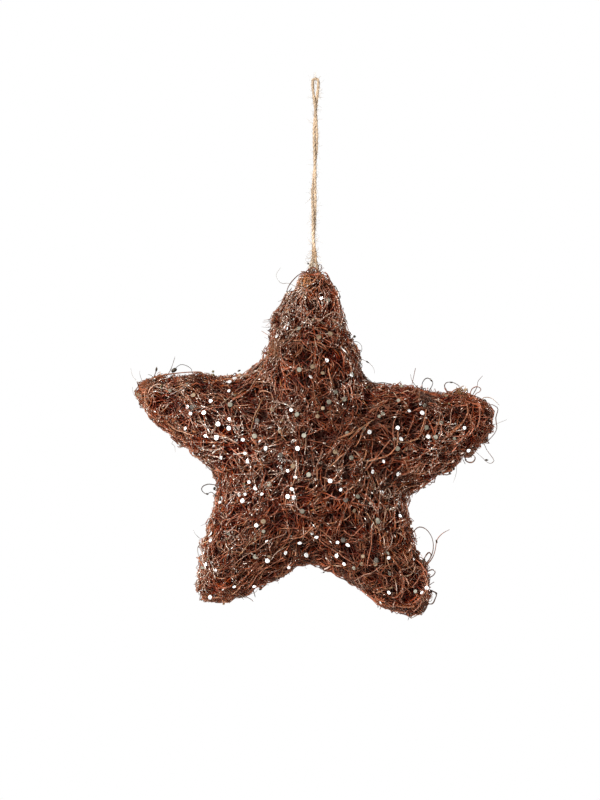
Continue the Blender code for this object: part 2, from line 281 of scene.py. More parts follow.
# Tendrils that curl out of the tangle, by photograph pixel along each, with its radius, colour and
# how many millimetres forward of the middle plane it lies. Both ends of those marked so go back in
PALE_HAIR = (0.17, 0.135, 0.11)
DARK_HAIR = (0.030, 0.020, 0.016)
BROWN_HAIR = (0.062, 0.025, 0.014)
RUST_HAIR = (0.14, 0.046, 0.020)
TAN_HAIR = (0.24, 0.13, 0.06)
FINE, SLIM, STOUT = 0.17 * MM, 0.27 * MM, 0.39 * MM
TENDRILS = (
    (((170.2, 371.2), (173.4, 362.3), (175.3, 356.6)), SLIM, BROWN_HAIR, 1, False),
    (((174, 371), (176.6, 367.4), (181, 364.6), (186, 365.5), (191.2, 368.7), (192, 372)), FINE,
      DARK_HAIR, -1, True),
    (((154.2, 378), (156, 372), (157.2, 366.8)), STOUT, BROWN_HAIR, 2, False),
    (((154.5, 378.5), (151.5, 375.5), (148, 374.4)), SLIM, DARK_HAIR, 0, False),
    (((138, 382), (133, 376), (131, 368)), FINE, PALE_HAIR, 1, False),
    (((138, 398), (133.5, 394), (132.5, 387)), FINE, PALE_HAIR, -2, False),
    (((142, 380), (140, 374), (140, 371)), FINE, BROWN_HAIR, 0, False),
    (((152, 379), (165, 375), (180, 373), (192, 372.2), (203, 373)), STOUT, RUST_HAIR, 4, True),
    (((304.8, 272.1), (297.2, 276), (289.5, 284.9), (286.4, 292.5), (284.4, 298.3)), SLIM, BROWN_HAIR, 0,
      True),
    (((288.3, 283.3), (281.9, 283.3), (277.4, 279.1), (276.4, 274), (280.6, 267.7)), FINE, PALE_HAIR, -1,
      False),
    (((334, 286), (336.9, 289.4), (338.9, 293.4), (340.3, 298)), SLIM, DARK_HAIR, 1, True),
    (((289, 292), (290.5, 290), (291.8, 287.8)), STOUT, BROWN_HAIR, 1, False),
    (((284, 298.5), (281, 300.5), (278.2, 301.6)), SLIM, DARK_HAIR, -1, False),
    (((341, 311), (342.5, 309.5), (343.6, 307.8)), STOUT, DARK_HAIR, 0, False),
    (((310, 265.5), (308.2, 263.5), (305.6, 259.5)), FINE, DARK_HAIR, 0, False),
    (((318, 269), (318.8, 265.3), (320.8, 265.3), (321.8, 267.3), (320.5, 270)), SLIM, BROWN_HAIR, 2,
      True),
    (((350, 341), (352, 338.5), (354.6, 336.5)), STOUT, BROWN_HAIR, 0, False),
    (((355.5, 341.5), (361, 345), (361.5, 351), (358, 354)), FINE, DARK_HAIR, 0, True),
    (((359, 359), (362.2, 359.5), (367.3, 361.8), (371.2, 365.2), (373.7, 369), (374.5, 373.5)), FINE,
      BROWN_HAIR, 1, False),
    (((360.5, 368), (364, 376), (369.4, 381.1), (375, 383.2), (382.7, 382.7), (390.8, 384.2), (395, 386)),
      SLIM, DARK_HAIR, -1, True),
    (((359, 372), (364, 379), (371, 382.8), (377, 385.5)), FINE, BROWN_HAIR, 2, True),
    (((420.5, 390), (417.3, 387.2), (413.8, 383.7), (411.2, 379.1), (410.4, 374.5)), SLIM, BROWN_HAIR, 2,
      False),
    (((424.5, 393), (421.9, 385.7), (423.5, 380.6), (427, 378.1), (431.1, 380.1), (432.4, 384.2),
      (428, 392.5)), SLIM, DARK_HAIR, 1, True),
    (((447.4, 392), (444.4, 386.2), (446.4, 382.7), (451.5, 382.2), (457.1, 384.2), (460.7, 387.8),
      (463.3, 392)), SLIM, BROWN_HAIR, -2, True),
    (((456.5, 395), (460, 388.5), (463, 386), (466.5, 388.3), (467.2, 392), (464.5, 395)), SLIM, TAN_HAIR,
      1, True),
    (((454.5, 394), (457.5, 389), (461.3, 388), (463, 391.5), (461.5, 395)), SLIM, RUST_HAIR, -1, True),
    (((469.5, 394), (471.9, 388.8), (476.5, 386.7), (480.6, 388.8), (479.1, 392), (475.5, 394)), SLIM,
      RUST_HAIR, 2, True),
    (((476.5, 388), (478, 381.6), (480.1, 378.6), (482.6, 375.8)), SLIM, BROWN_HAIR, -1, False),
    (((483, 398), (487.5, 397.3), (491.8, 398.5), (495.9, 402), (499.2, 405.4)), SLIM, TAN_HAIR, 0,
      False),
    (((490, 404.5), (494.5, 406), (497.4, 408.4), (496.9, 412.5), (495.4, 417), (495.5, 422),
      (496.3, 427), (494.6, 432), (490.6, 437.8), (484, 442.5)), SLIM, BROWN_HAIR, 3, True),
    (((494, 424.5), (501, 421.9), (507.7, 419.4)), FINE, PALE_HAIR, -2, False),
    (((482.5, 441.5), (486.7, 450), (490.3, 455.1), (493.6, 460.4), (490.3, 463.4), (486.4, 461.8),
      (481.6, 457.1), (477.6, 453.6), (473, 449)), FINE, BROWN_HAIR, 2, True),
    (((464.5, 457), (465.5, 460.5), (469, 462.3), (472.6, 461.6), (474.6, 458.4), (473.5, 455.4),
      (470, 454)), STOUT, BROWN_HAIR, 3, True),
    (((456, 463), (456.6, 470.4), (455.1, 476.5), (453, 482.7)), FINE, PALE_HAIR, 0, False),
    (((451, 466), (451, 470), (449.5, 473)), STOUT, DARK_HAIR, 1, False),
    (((413, 532), (416.3, 528), (420.4, 526.7), (425.5, 528.8), (430.1, 534.1), (432.6, 540.2),
      (433.2, 547.3), (431.6, 554.5), (428, 561), (423, 566)), SLIM, BROWN_HAIR, 1, True),
    (((423, 567.5), (428.6, 562.7), (432.7, 556.5), (435.2, 549.4), (436.5, 541.2), (439.3, 536.6),
      (443.9, 532.5), (449.5, 529.5)), STOUT, RUST_HAIR, -1, False),
    (((420, 562), (422.5, 560), (426, 554.5), (428.8, 552.2), (430.6, 554), (429.5, 558), (426, 563)),
      STOUT, BROWN_HAIR, 3, True),
    (((423.5, 573.5), (429.1, 570.3), (432.7, 569.5), (434.9, 571.8), (432.7, 575.4), (429.1, 577.4),
      (426, 578)), STOUT, BROWN_HAIR, 0, True),
    (((427, 586), (430.1, 583.9), (434.2, 581.5)), STOUT, BROWN_HAIR, 1, False),
    (((430, 590), (436.2, 593.3), (434.9, 598.9), (432.7, 603), (429.5, 604)), STOUT, BROWN_HAIR, -1,
      True),
    (((428, 593), (431.5, 597), (431, 600.5), (428.5, 601)), FINE, PALE_HAIR, 2, True),
    (((428.5, 603), (425.5, 606.5), (421.4, 610.6), (416.5, 615)), STOUT, BROWN_HAIR, 1, False),
    (((427, 605.5), (424, 611.6), (420.9, 615.4)), STOUT, BROWN_HAIR, -2, False),
    (((411, 612), (409.5, 616), (407.6, 620.3)), SLIM, DARK_HAIR, 0, False),
    (((329, 568.5), (326, 570.6), (323.5, 572.3), (320.6, 573)), FINE, DARK_HAIR, 0, False),
    (((414.5, 538.5), (416.5, 538), (419, 538.2)), FINE, DARK_HAIR, 0, False),
    (((216, 484.8), (211, 484.1), (207.8, 484.1), (203.3, 486), (201.7, 489.2), (204, 492.4),
      (207.2, 493.7), (211.6, 491.8), (216, 495)), SLIM, DARK_HAIR, 2, True),
    (((210, 520.5), (204.8, 523.9), (200.5, 525.9)), FINE, BROWN_HAIR, 0, False),
    (((205, 541.5), (199.2, 537.7), (195.6, 533.6), (193.1, 530)), FINE, BROWN_HAIR, 0, False),
    (((204, 543.5), (198.9, 545.3), (197.7, 549.4), (198.7, 555.5), (202, 558)), FINE, PALE_HAIR, -1,
      True),
    (((200, 585), (196.6, 584.6), (193.6, 583.9)), STOUT, BROWN_HAIR, 1, False),
    (((239, 594), (241, 596.3), (243.8, 599.6)), SLIM, DARK_HAIR, 0, False),
    (((244, 594.5), (247.1, 596.8), (250.2, 598.4), (253.4, 601)), STOUT, BROWN_HAIR, 1, False),
    (((252.5, 589), (253.8, 592), (255.4, 597)), STOUT, DARK_HAIR, -1, False),
    (((276, 578), (277.2, 580), (278.7, 583.4)), FINE, DARK_HAIR, 0, False),
    (((172, 443), (174.6, 446), (175.6, 452)), FINE, PALE_HAIR, 0, False),
)

# Single strands that show on the front, by photograph pixel along each, with radius in millimetres
# and colour
ORANGE, RUST, DEEP_RED = (0.185, 0.066, 0.031), (0.155, 0.048, 0.024), (0.11, 0.026, 0.012)
STRAW, PINKISH, SILVERED = (0.18, 0.088, 0.043), (0.175, 0.085, 0.056), (0.58, 0.50, 0.43)
SHOWN = (
    (((372.5, 526), (371.2, 536), (370.4, 546.3), (369.4, 556), (367.3, 566.7)), 0.36, RUST),
    (((373.5, 522.9), (372, 526), (371.4, 530.5)), 0.20, SILVERED),
    (((366.5, 513.5), (371.5, 520), (376, 527), (380.6, 530.6)), 0.28, STRAW),
    (((345, 531), (352, 535), (358, 530.5), (363, 524.5)), 0.32, RUST),
    (((353.6, 580.8), (364, 575), (373, 571.5), (382, 565.6)), 0.24, PINKISH),
    (((377, 568.5), (381, 573), (386.5, 578.6), (387, 584)), 0.36, RUST),
    (((290, 538.8), (299, 538), (305.5, 533.8), (311, 528.5), (316.5, 523)), 0.37, ORANGE),
    (((320, 540), (330, 548), (343, 556), (356, 564.5)), 0.29, RUST),
    (((362.5, 592), (372, 600.5), (384, 607), (398, 610.6), (406, 611.8)), 0.28, RUST),
    (((233, 566), (243, 558), (255, 551.5), (268, 542), (284, 534.6)), 0.24, PINKISH),
    (((240, 555), (247, 545), (253, 538.5), (262, 533.6)), 0.28, STRAW),
    (((226, 531), (236, 530), (243, 537), (244, 543), (238, 545), (231, 540)), 0.31, RUST),
    (((251, 586), (258, 575), (270, 566), (284, 557)), 0.29, RUST),
    (((365.5, 466.5), (369, 460.5), (377, 459), (386, 456.5), (393, 451), (397, 444), (398, 433)), 0.39,
      ORANGE),
    (((350, 438), (358, 430), (366, 424.5), (373, 420)), 0.28, STRAW),
    (((421.5, 431), (424, 420), (426.8, 409.5)), 0.39, ORANGE),
    (((394.5, 447), (393.4, 432), (394.2, 420), (398.5, 411)), 0.32, RUST),
    (((450, 436.5), (457, 429), (463, 422), (467.5, 413), (467, 405)), 0.37, ORANGE),
    (((449.7, 424), (450.4, 414), (453, 407.5)), 0.28, PINKISH),
    (((477.5, 426), (479.5, 415), (478, 403)), 0.47, RUST),
    (((405, 461), (407.5, 469), (415, 474), (425.5, 473)), 0.34, ORANGE),
    (((424, 474), (434, 473), (444, 466.5), (450.5, 460)), 0.34, RUST),
    (((384, 426), (392, 433), (396, 441)), 0.34, DEEP_RED),
    (((311.5, 284), (315, 278.5), (320.5, 272.5)), 0.39, ORANGE),
    (((322, 275), (326, 281), (331.5, 287.5)), 0.42, RUST),
    (((322.5, 293), (319.5, 288), (321, 279.5)), 0.34, RUST),
    (((299, 294), (304, 299), (307.5, 307)), 0.28, PINKISH),
    (((316, 294), (317, 301), (316.5, 309)), 0.28, PINKISH),
    (((308, 316), (311.5, 311.5), (314.5, 309)), 0.39, RUST),
    (((234.6, 453.8), (240, 453.7), (245, 453.3)), 0.20, SILVERED),
    (((266, 448.5), (270.5, 446.5), (274.5, 444.5)), 0.20, SILVERED),
    (((295.9, 460.8), (295.9, 467), (295.2, 474)), 0.20, SILVERED),
    (((212, 453.5), (215, 450.5), (219, 448.5)), 0.20, SILVERED),
    (((322, 452), (318, 464), (313, 475)), 0.28, PINKISH),
    (((262, 400), (255, 416), (251, 430)), 0.28, STRAW),
    (((255, 378), (244, 386), (236, 391)), 0.31, RUST),
    (((398.7, 598.5), (402, 603.5), (405.8, 604.8), (410, 604)), 0.30, DEEP_RED),
    (((397.9, 605.6), (401.2, 606.8), (407.4, 607.9), (413.6, 606.4)), 0.34, ORANGE),
    (((422.6, 596.5), (423.2, 599), (421.6, 602.7), (418.8, 606.4), (415.5, 609.4)), 0.30, STRAW),
    (((418.2, 596.5), (419.8, 600.6), (418.2, 604.8), (413.5, 610)), 0.34, RUST),
    (((402.5, 569.5), (407.4, 568.7), (411.6, 565.4), (413.2, 562.5)), 0.26, PINKISH),
    (((406.6, 589.4), (403.3, 593.1), (401.5, 598)), 0.28, RUST),
    (((412, 586.5), (416.5, 581), (419.5, 575.5)), 0.30, RUST),
    (((356, 445), (362, 433), (369, 423.5)), 0.32, ORANGE),
    (((366.5, 470), (374.5, 459.5), (381, 452), (389, 441)), 0.30, RUST),
    (((383.5, 429.5), (389, 437), (395, 444.5)), 0.30, DEEP_RED),
    (((398, 442.5), (408, 442), (418, 439.5)), 0.26, STRAW),
)
SHOWN_WAVE = 0.12 * MM
SHOWN_LIFT = (0.1, 0.6)
END_REACH = 0.15

# What tendrils and shown strands share: their rings and sides, and how deep their ends are rooted.
# Tendrils sway in and out about a plane that lies a little forward
TENDRIL_RINGS = 26
TENDRIL_SIDES = 4
ROOT_DEPTH = 2.0 * MM
TENDRIL_SWAY = 1.0 * MM
TENDRIL_FORWARD = 2.0 * MM
TIP_SHARE, RETURN_SHARE = 0.35, 0.8

# Dark seeds and nodules on the tendrils and edges, by photograph pixel: two ends, and radius in
# millimetres. A seed sits on a tendril within reach, or else on the skin
SEED_REACH = 1.2 * MM
SEED_RINGS, SEED_SIDES = 9, 8
SEEDS = (
    ((172.4, 371.4), (176.2, 369.0), 1.15), ((156.4, 371.0), (157.0, 367.8), 0.6),
    ((353.6, 337.0), (355.4, 336.0), 0.75), ((366.3, 361.3), (368.5, 362.7), 0.45),
    ((430.0, 378.9), (431.8, 381.3), 0.5), ((450.0, 382.2), (452.6, 382.4), 0.45),
    ((484.6, 460.0), (487.4, 459.8), 0.55), ((465.0, 459.4), (465.8, 460.2), 0.6),
    ((453.0, 468.6), (454.4, 469.0), 0.8), ((448.8, 473.4), (450.2, 472.4), 0.6),
    ((484.0, 399.8), (485.6, 401.6), 0.85), ((213.6, 488.4), (215.4, 488.8), 1.0),
    ((206.4, 493.4), (208.4, 494.0), 0.5), ((436.2, 540.0), (436.8, 542.6), 0.5),
    ((422.0, 561.0), (424.0, 558.6), 0.75), ((428.4, 576.6), (429.2, 575.0), 0.5),
    ((430.4, 592.0), (431.8, 591.4), 0.8), ((435.6, 593.0), (436.8, 593.6), 0.75),
    ((426.4, 590.6), (427.6, 590.8), 0.7), ((348.4, 582.2), (349.8, 583.0), 0.7),
    ((377.6, 606.6), (378.4, 607.0), 0.4), ((323.0, 572.4), (324.4, 571.8), 0.4),
    ((259.4, 589.6), (261.6, 588.6), 0.7), ((307.6, 263.6), (308.8, 264.0), 0.5),
)
SEED_COLOUR = (0.018, 0.014, 0.010)
# Scraps of leaf on the edges, likewise, each with its colour
OLIVE, TAN_SCRAP = (0.10, 0.085, 0.045), (0.26, 0.17, 0.09)
EDGE_SCRAPS = (
    ((212.2, 371.9), (214.0, 371.2), 0.7, OLIVE), ((211.8, 375.4), (214.4, 374.8), 0.9, OLIVE),
    ((238.0, 371.2), (240.2, 370.2), 0.5, SEED_COLOUR), ((238.4, 374.8), (241.0, 374.2), 0.7, TAN_SCRAP),
    ((222.8, 604.2), (224.6, 603.6), 0.6, TAN_SCRAP),
    ((400.5, 386.6), (402.8, 386.0), 1.0, (0.24, 0.22, 0.17)),
    ((464.2, 389.0), (466.0, 390.4), 0.8, TAN_SCRAP), ((352.5, 347.5), (354.0, 348.5), 0.5, TAN_SCRAP),
)

# Tight groups of silvery grains, by photograph pixel
GRAIN_GROUPS = (
    (280.5, 460), (286, 460), (280.5, 467.6), (263, 460), (428, 436.7), (335.5, 392.7), (349.5, 374),
    (430, 443), (432.5, 449), (441, 434), (399, 504), (372, 503), (293.5, 441), (236, 441),
)
GROUP_GRAINS = 9
GROUP_RADIUS = 0.8 * MM
GROUP_LIFT = 0.2 * MM
GROUP_COLOUR = (0.70, 0.66, 0.60)

# Where the glitter lies thick, by photograph pixel: place, radius and share of the strands
FROSTED = (
    (224, 440, 30, 0.62), (292, 304, 32, 0.50), (164, 392, 24, 0.42), (280, 472, 34, 0.30),
    (345, 388, 14, 0.45), (345, 470, 22, 0.28), (385, 500, 20, 0.10), (212, 524, 34, 0.32),
    (428, 440, 30, 0.24), (256, 368, 24, 0.35), (248, 496, 14, 0.40), (204, 572, 17, 0.35),
    (288, 412, 20, 0.28), (400, 506, 30, 0.14), (364, 380, 30, 0.16), (468, 454, 10, 0.20),
    (200, 408, 14, 0.30), (330, 315, 20, 0.25),
)
FROST_EVERYWHERE = 0.05
FROST_BEHIND = 0.5
FROSTED_STRANDS = 0.06
FROST_MIX = (0.3, 0.9)

# Fine dust on the strands, as pale flecks: how much everywhere, how much more where the glitter lies
# thick, and how much on the pieces that are placed by pixel
DUST_EVERYWHERE = 0.28
DUST_BY_FROST = 1.3
TENDRIL_DUST, SHOWN_DUST, CLUMP_DUST = 0.15, 0.5, 0.35
DUST_COLOUR = (0.36, 0.277, 0.220, 1.0)

# Glitter flakes and grains on the outer strands, and scraps of leaf and husk among them
FLAKES = 14500
FLAKE_RADIUS = 0.27 * MM
FLAKE_FLATNESS = 0.7
FLAKE_LENGTHS = (0.65, 0.45)
FLAKE_LOOSENESS = 0.12 * MM
FLAKE_CLUSTERING = 1.25
UNEVEN_FLAKES = 0.3
STUCK_OUT = 0.3 * MM
PROUD, PROUD_SCALE = 1.0 * MM, 1.2 * MM
FLAKE_COLOURS = (
    (1.2, (0.80, 0.76, 0.70)),
    (5, (0.49, 0.395, 0.33)),
    (7, (0.35, 0.22, 0.165)),
    (2, (0.20, 0.11, 0.075)),
)
SCRAPS = 700
SCRAP_RADIUS = 0.6 * MM
SCRAP_FLATNESS = 0.3
SCRAP_LENGTHS = (0.6, 1.4)
SCRAP_CLUSTERING, SCRAP_LOOSENESS = 0.5, 0.15 * MM
SCRAP_COLOURS = (
    (3, (0.14, 0.09, 0.05)),
    (2, (0.10, 0.085, 0.045)),
    (2, (0.20, 0.16, 0.11)),
    (2, (0.03, 0.02, 0.015)),
)

# Sequins, round and a little cupped. The bright ones that the CAD doesn't have are placed by the
# pixel of the photograph where they show
SEQUIN_RADIUS = 1.4 * MM
SEQUIN_THICKNESS = 0.2 * MM
SEQUIN_CUP = 0.12 * MM
SEQUIN_SIDES = 18
SEQUIN_TILT = 0.42
BRIGHT_LIFT, BRIGHT_SIZES = (0.2, 1.0), (0.66, 1.0)
BRIGHT_SEQUINS = (
    (321, 298.6), (288, 324), (286, 328), (277.4, 336.3), (351.4, 344), (327, 360.4), (310.8, 376.7),
    (350.8, 375.4), (265.6, 356.3), (229.5, 382.7), (228.9, 391), (235, 379.5), (210.6, 401),
    (187.4, 407), (190.6, 413.3), (204, 412.7), (229.5, 419), (219.9, 422.3), (228.9, 428), (185.5, 428),
    (205.9, 435.7), (218, 439.5), (214, 446), (242.9, 439.5), (259.8, 441), (291.4, 410.2),
    (265.8, 448.4), (297.5, 448.4), (245.2, 453.3), (248.4, 461), (220.8, 457.3), (288, 470.7),
    (295.6, 477), (249.6, 482), (255.6, 488.1), (292, 488.9), (240, 494.6), (245.4, 494.3), (242.6, 501),
    (262, 494), (287.8, 496.3), (293.8, 496.8), (222.2, 498.5), (220.3, 502.5), (210.9, 533.6),
    (210.7, 540.5), (256.5, 525.3), (267.2, 541.7), (299.2, 542.4), (285.4, 552.2), (305.9, 554.4),
    (288.5, 567.2), (316.4, 537.2), (312, 533), (338, 541.8), (347.8, 544.9), (337, 555.2),
    (344.6, 563.5), (205.8, 564.5), (215.5, 570.6), (233.9, 586.1), (254.3, 586.1), (209.9, 596.3),
    (267.2, 559.6), (330, 480.5), (340.6, 489.5), (381.2, 492), (399.5, 515.7), (409.7, 526),
    (388.6, 557.9), (413.3, 558.9), (421.4, 592.4), (425.6, 587.7), (389.3, 592), (387.8, 606.5),
    (420.4, 403.6), (409.2, 411.2), (418.9, 413.5), (464.3, 428), (397.6, 428), (401, 438.8),
    (369.4, 432.1), (383.5, 461.2), (372.4, 471.2), (397.6, 473.5), (468.2, 450), (428, 436.7),
    (452, 388),
)
# Bright ones on the back, which the photograph doesn't show
BRIGHT_BEHIND = 18
BEHIND_FACING = 0.2
BEHIND_LIFT, BEHIND_SIZES = 0.5 * MM, (0.7, 1.0)
# A CAD sequin is bright if a bright pixel lies so near, in pixels, and otherwise a matte grey copy of the
# silver, sunk in: its grey is painted reflection and shade
SHINES_WITHIN = 4.0
DULL_SUNK = 0.8 * MM
# Grey ones by pixel, and further grey ones anywhere
GREY_DISCS = (
    (299.5, 329), (327.8, 300), (322.7, 373), (272.3, 410), (322.7, 408.6), (317.6, 416.3), (424, 406),
    (398.6, 401), (400.6, 386), (381.4, 387.5), (446.4, 396.5), (449, 393.5), (186, 384.6), (441, 423),
    (454, 438), (383, 414), (354.1, 510.6), (377.3, 519.5), (363, 556), (387.2, 553.5), (376, 559.6),
    (375.5, 563.7), (361.7, 563.5), (354, 567.6), (389.8, 573.4), (414.8, 591.2), (370.4, 503),
    (357.6, 496.3), (263.5, 531.2), (268.8, 556), (335.5, 392.7), (352, 374), (374, 407),
)
DULL_SEQUINS = 30
DULL_SEQUINS_IN_FRONT = 0.35
DULL_LIFT, DULL_SIZES = (0.1, 0.9), (0.7, 1.0)
# The grey sequins' colours: the greys and near-black are painted reflection and shade, for silver sequins
# turned away from the light; the tan is fibre lying over them
DULL_AND_SHADED_COLOURS = (
    (3, (0.20, 0.185, 0.145)),
    (3, (0.13, 0.12, 0.09)),
    (2, (0.18, 0.125, 0.075)),
    (1, (0.06, 0.05, 0.04)),
)

# Soft lights round the hub: name, place, size and power
LIGHTS = (
    ("key", (-1.1, -1.5, 0.9), 0.6, 100),
    ("front", (-0.2, -2.5, 0.1), 1.2, 32),
    ("behind", (0.9, 1.9, 0.7), 0.8, 80),
    ("side", (2.4, 0.3, 0.3), 1.2, 30),
)
WORLD_COLOUR, WORLD_STRENGTH = (1, 0.85, 0.74, 1), 0.10


def from_photo(x, y, forward=0.0):
    """The place that shows at a pixel of the photograph, so far forward of the star's middle plane."""
    right = (x - HOOK_PIXEL[0]) * MM_PER_PIXEL * MM
    down = (y - HOOK_PIXEL[1]) * MM_PER_PIXEL * MM
    return np.array((right, -forward, -down))


def camera_place():
    middle = from_photo(PICTURE_WIDE / 2, PICTURE_HIGH / 2)
    return np.array((middle[0], -CAMERA_DISTANCE, middle[2]))


def unit(vectors):
    return vectors / np.maximum(np.linalg.norm(vectors, axis=-1, keepdims=True), 1e-12)


def across(vectors, normals):
    """The part of each vector that lies across its normal, at length 1."""
    return unit(vectors - (vectors * normals).sum(-1, keepdims=True) * normals)


def read_between(grid, cell, part):
    """The values of a grid at places so far on from its points: it repeats past its end."""
    total = np.zeros(part.shape[:-1])
    for corner in np.ndindex(2, 2, 2):
        weight = np.prod(np.where(corner, part, 1 - part), axis=-1)
        i, j, k = np.moveaxis((cell + corner) % grid.shape, -1, 0)
        total += weight * grid[i, j, k]
    return total


def lattice_noise(points, width, seed):
    """Smooth random values from 0 to 1, on a lattice of that width."""
    lattice = np.random.default_rng(seed).random((LATTICE, LATTICE, LATTICE))
    where = points / width
    cell = np.floor(where).astype(int)
    part = where - cell
    return read_between(lattice, cell, part * part * (3 - 2 * part))


def relief_at(points):
    """How much deeper the tangle lies at each point, less where it bulges."""
    level = lattice_noise(points, RELIEF_WIDTH, RELIEF_SEED)
    pit = PIT_DEPTH * np.clip((level - PIT_LEVEL) / RELIEF_BLEND, 0, 1)
    return pit - BUMP_HEIGHT * np.clip((BUMP_LEVEL - level) / RELIEF_BLEND, 0, 1)


def nearness(points, x, y, radius):
    """1 at a pixel of the photograph, and less the further from it, front and back alike."""
    centre = from_photo(x, y)
    away = np.hypot(points[..., 0] - centre[0], points[..., 2] - centre[2])
    return np.exp(-((away / (radius * MM_PER_PIXEL * MM)) ** 2))


def outline_rise(points):
    """How far the outline stands out from the CAD's at each point."""
    total = np.zeros(points.shape[:-1])
    for x, y, rise in OUTLINE_RISES:
        total += rise * MM * nearness(points, x, y, RISE_RADIUS)
    return total


class Skin:
    """Distance from the CAD star's skin, negative inside, kept on a grid and read between its points."""

    PITCH = 3.0 * MM
    MARGIN = 18.0 * MM
    SLOPE_STEP = 1.5 * MM
    LOOK_FROM = 35.0 * MM
    LOOK_STEPS = 20
    LOOK_CAUTION = 0.8

    def __init__(self, node):
        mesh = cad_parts[node].data
        self.points = np.array([vertex.co for vertex in mesh.vertices])
        self.triangles = np.array([triangle.vertices for triangle in self.loop_triangles(mesh)])
        tree = BVHTree.FromPolygons(self.points.tolist(), self.triangles.tolist())
        self.low = self.points.min(axis=0) - self.MARGIN
        high = self.points.max(axis=0) + self.MARGIN
        self.counts = np.ceil((high - self.low) / self.PITCH).astype(int) + 1
        axes = [self.low[i] + self.PITCH * np.arange(self.counts[i]) for i in range(3)]
        distances = []
        for x in axes[0]:
            for y in axes[1]:
                for z in axes[2]:
                    place = Vector((x, y, z))
                    nearest, normal, _, distance = tree.find_nearest(place)
                    distances.append(distance if (place - nearest).dot(normal) > 0 else -distance)
        grid_points = np.stack(np.meshgrid(*axes, indexing="ij"), axis=-1)
        self.grid = np.array(distances).reshape(self.counts) - outline_rise(grid_points)

    @staticmethod
    def loop_triangles(mesh):
        mesh.calc_loop_triangles()
        return mesh.loop_triangles

    def distance(self, points):
        where = (points - self.low) / self.PITCH
        where = np.clip(where, 0, self.counts - 1.001)
        cell = where.astype(int)
        return read_between(self.grid, cell, where - cell)

    def normal(self, points):
        slopes = [
            self.distance(points + self.SLOPE_STEP * axis) - self.distance(points - self.SLOPE_STEP * axis)
            for axis in np.eye(3)
        ]
        return unit(np.stack(slopes, axis=-1))

    def settle(self, points, sink):
        """Points moved along the normal until they lie so far under the skin."""
        normals = self.normal(points)
        return points - normals * (self.distance(points) + sink)[..., None], normals

    def seen_at(self, pixels):
        """Where the look through each pixel of the photograph meets the skin, or else the middle plane."""
        plane = np.array([from_photo(x, y) for x, y in pixels])
        look = unit(plane - camera_place())
        at = plane - look * self.LOOK_FROM
        for _ in range(self.LOOK_STEPS):
            at = at + np.maximum(self.distance(at), 0)[:, None] * self.LOOK_CAUTION * look
            at = np.where(at[:, 1:2] > 0, plane, at)
        return at

    def scatter(self, rng, count):
        """Random points, spread evenly over the skin."""
        a, b, c = (self.points[self.triangles[:, i]] for i in range(3))
        areas = np.linalg.norm(np.cross(b - a, c - a), axis=1)
        chosen = rng.choice(len(areas), count, p=areas / areas.sum())
        u, v = rng.random((2, count, 1))
        flip = u + v > 1
        u, v = np.where(flip, 1 - u, u), np.where(flip, 1 - v, v)
        return a[chosen] + u * (b - a)[chosen] + v * (c - a)[chosen]


def grain_at(points, normals):
    """Which way the strands tend to run: along the arms, and near the outline along that."""
    angles = np.arctan2(points[:, 0] - HUB[0], points[:, 2] - HUB[2])
    leans = np.radians(ARM_LEANS)
    nearest = leans[np.abs((angles[:, None] - leans + math.pi) % (2 * math.pi) - math.pi).argmin(axis=1)]
    along_arm = np.stack((np.sin(nearest), np.zeros_like(nearest), np.cos(nearest)), axis=1)
    along_edge = np.cross(normals, (0, 1, 0))
    edge = np.linalg.norm(along_edge, axis=1, keepdims=True)
    side = np.sign((along_arm * along_edge).sum(axis=1, keepdims=True))
    return along_arm * (1 - edge) + side * along_edge * edge, edge[:, 0]


def turned(vectors, axes, angles):
    """Vectors turned about unit axes, by angles in radians."""
    cos, sin = np.cos(angles[..., None]), np.sin(angles[..., None])
    along = (vectors * axes).sum(-1, keepdims=True) * axes
    return vectors * cos + np.cross(axes, vectors) * sin + along * (1 - cos)


def loose_ends(rng, layer):
    """How far each ring of each strand is lifted, from none in its middle to the most at an end."""
    ring = np.arange(layer.rings)
    from_end = np.minimum(ring, layer.rings - 1 - ring)
    share = np.clip(1 - from_end / LOOSE_END_RINGS, 0, 1) ** 2
    lifts = layer.lift * rng.exponential(1.0, (2, layer.count))
    lifts = lifts * (rng.random((2, layer.count)) < LOOSE_END_SHARE)
    lifts = np.minimum(lifts, 2.0 * layer.lift)
    return np.where(ring < layer.rings / 2, lifts[0][:, None], lifts[1][:, None]) * share


def bundled(rng, count, *shape):
    """Standard normal values, much alike within each bundle of strands."""
    shared = rng.normal(size=(math.ceil(count / BUNDLE), *shape)).repeat(BUNDLE, axis=0)[:count]
    return math.sqrt(1 - OWN_SHARE**2) * shared + OWN_SHARE * rng.normal(size=(count, *shape))


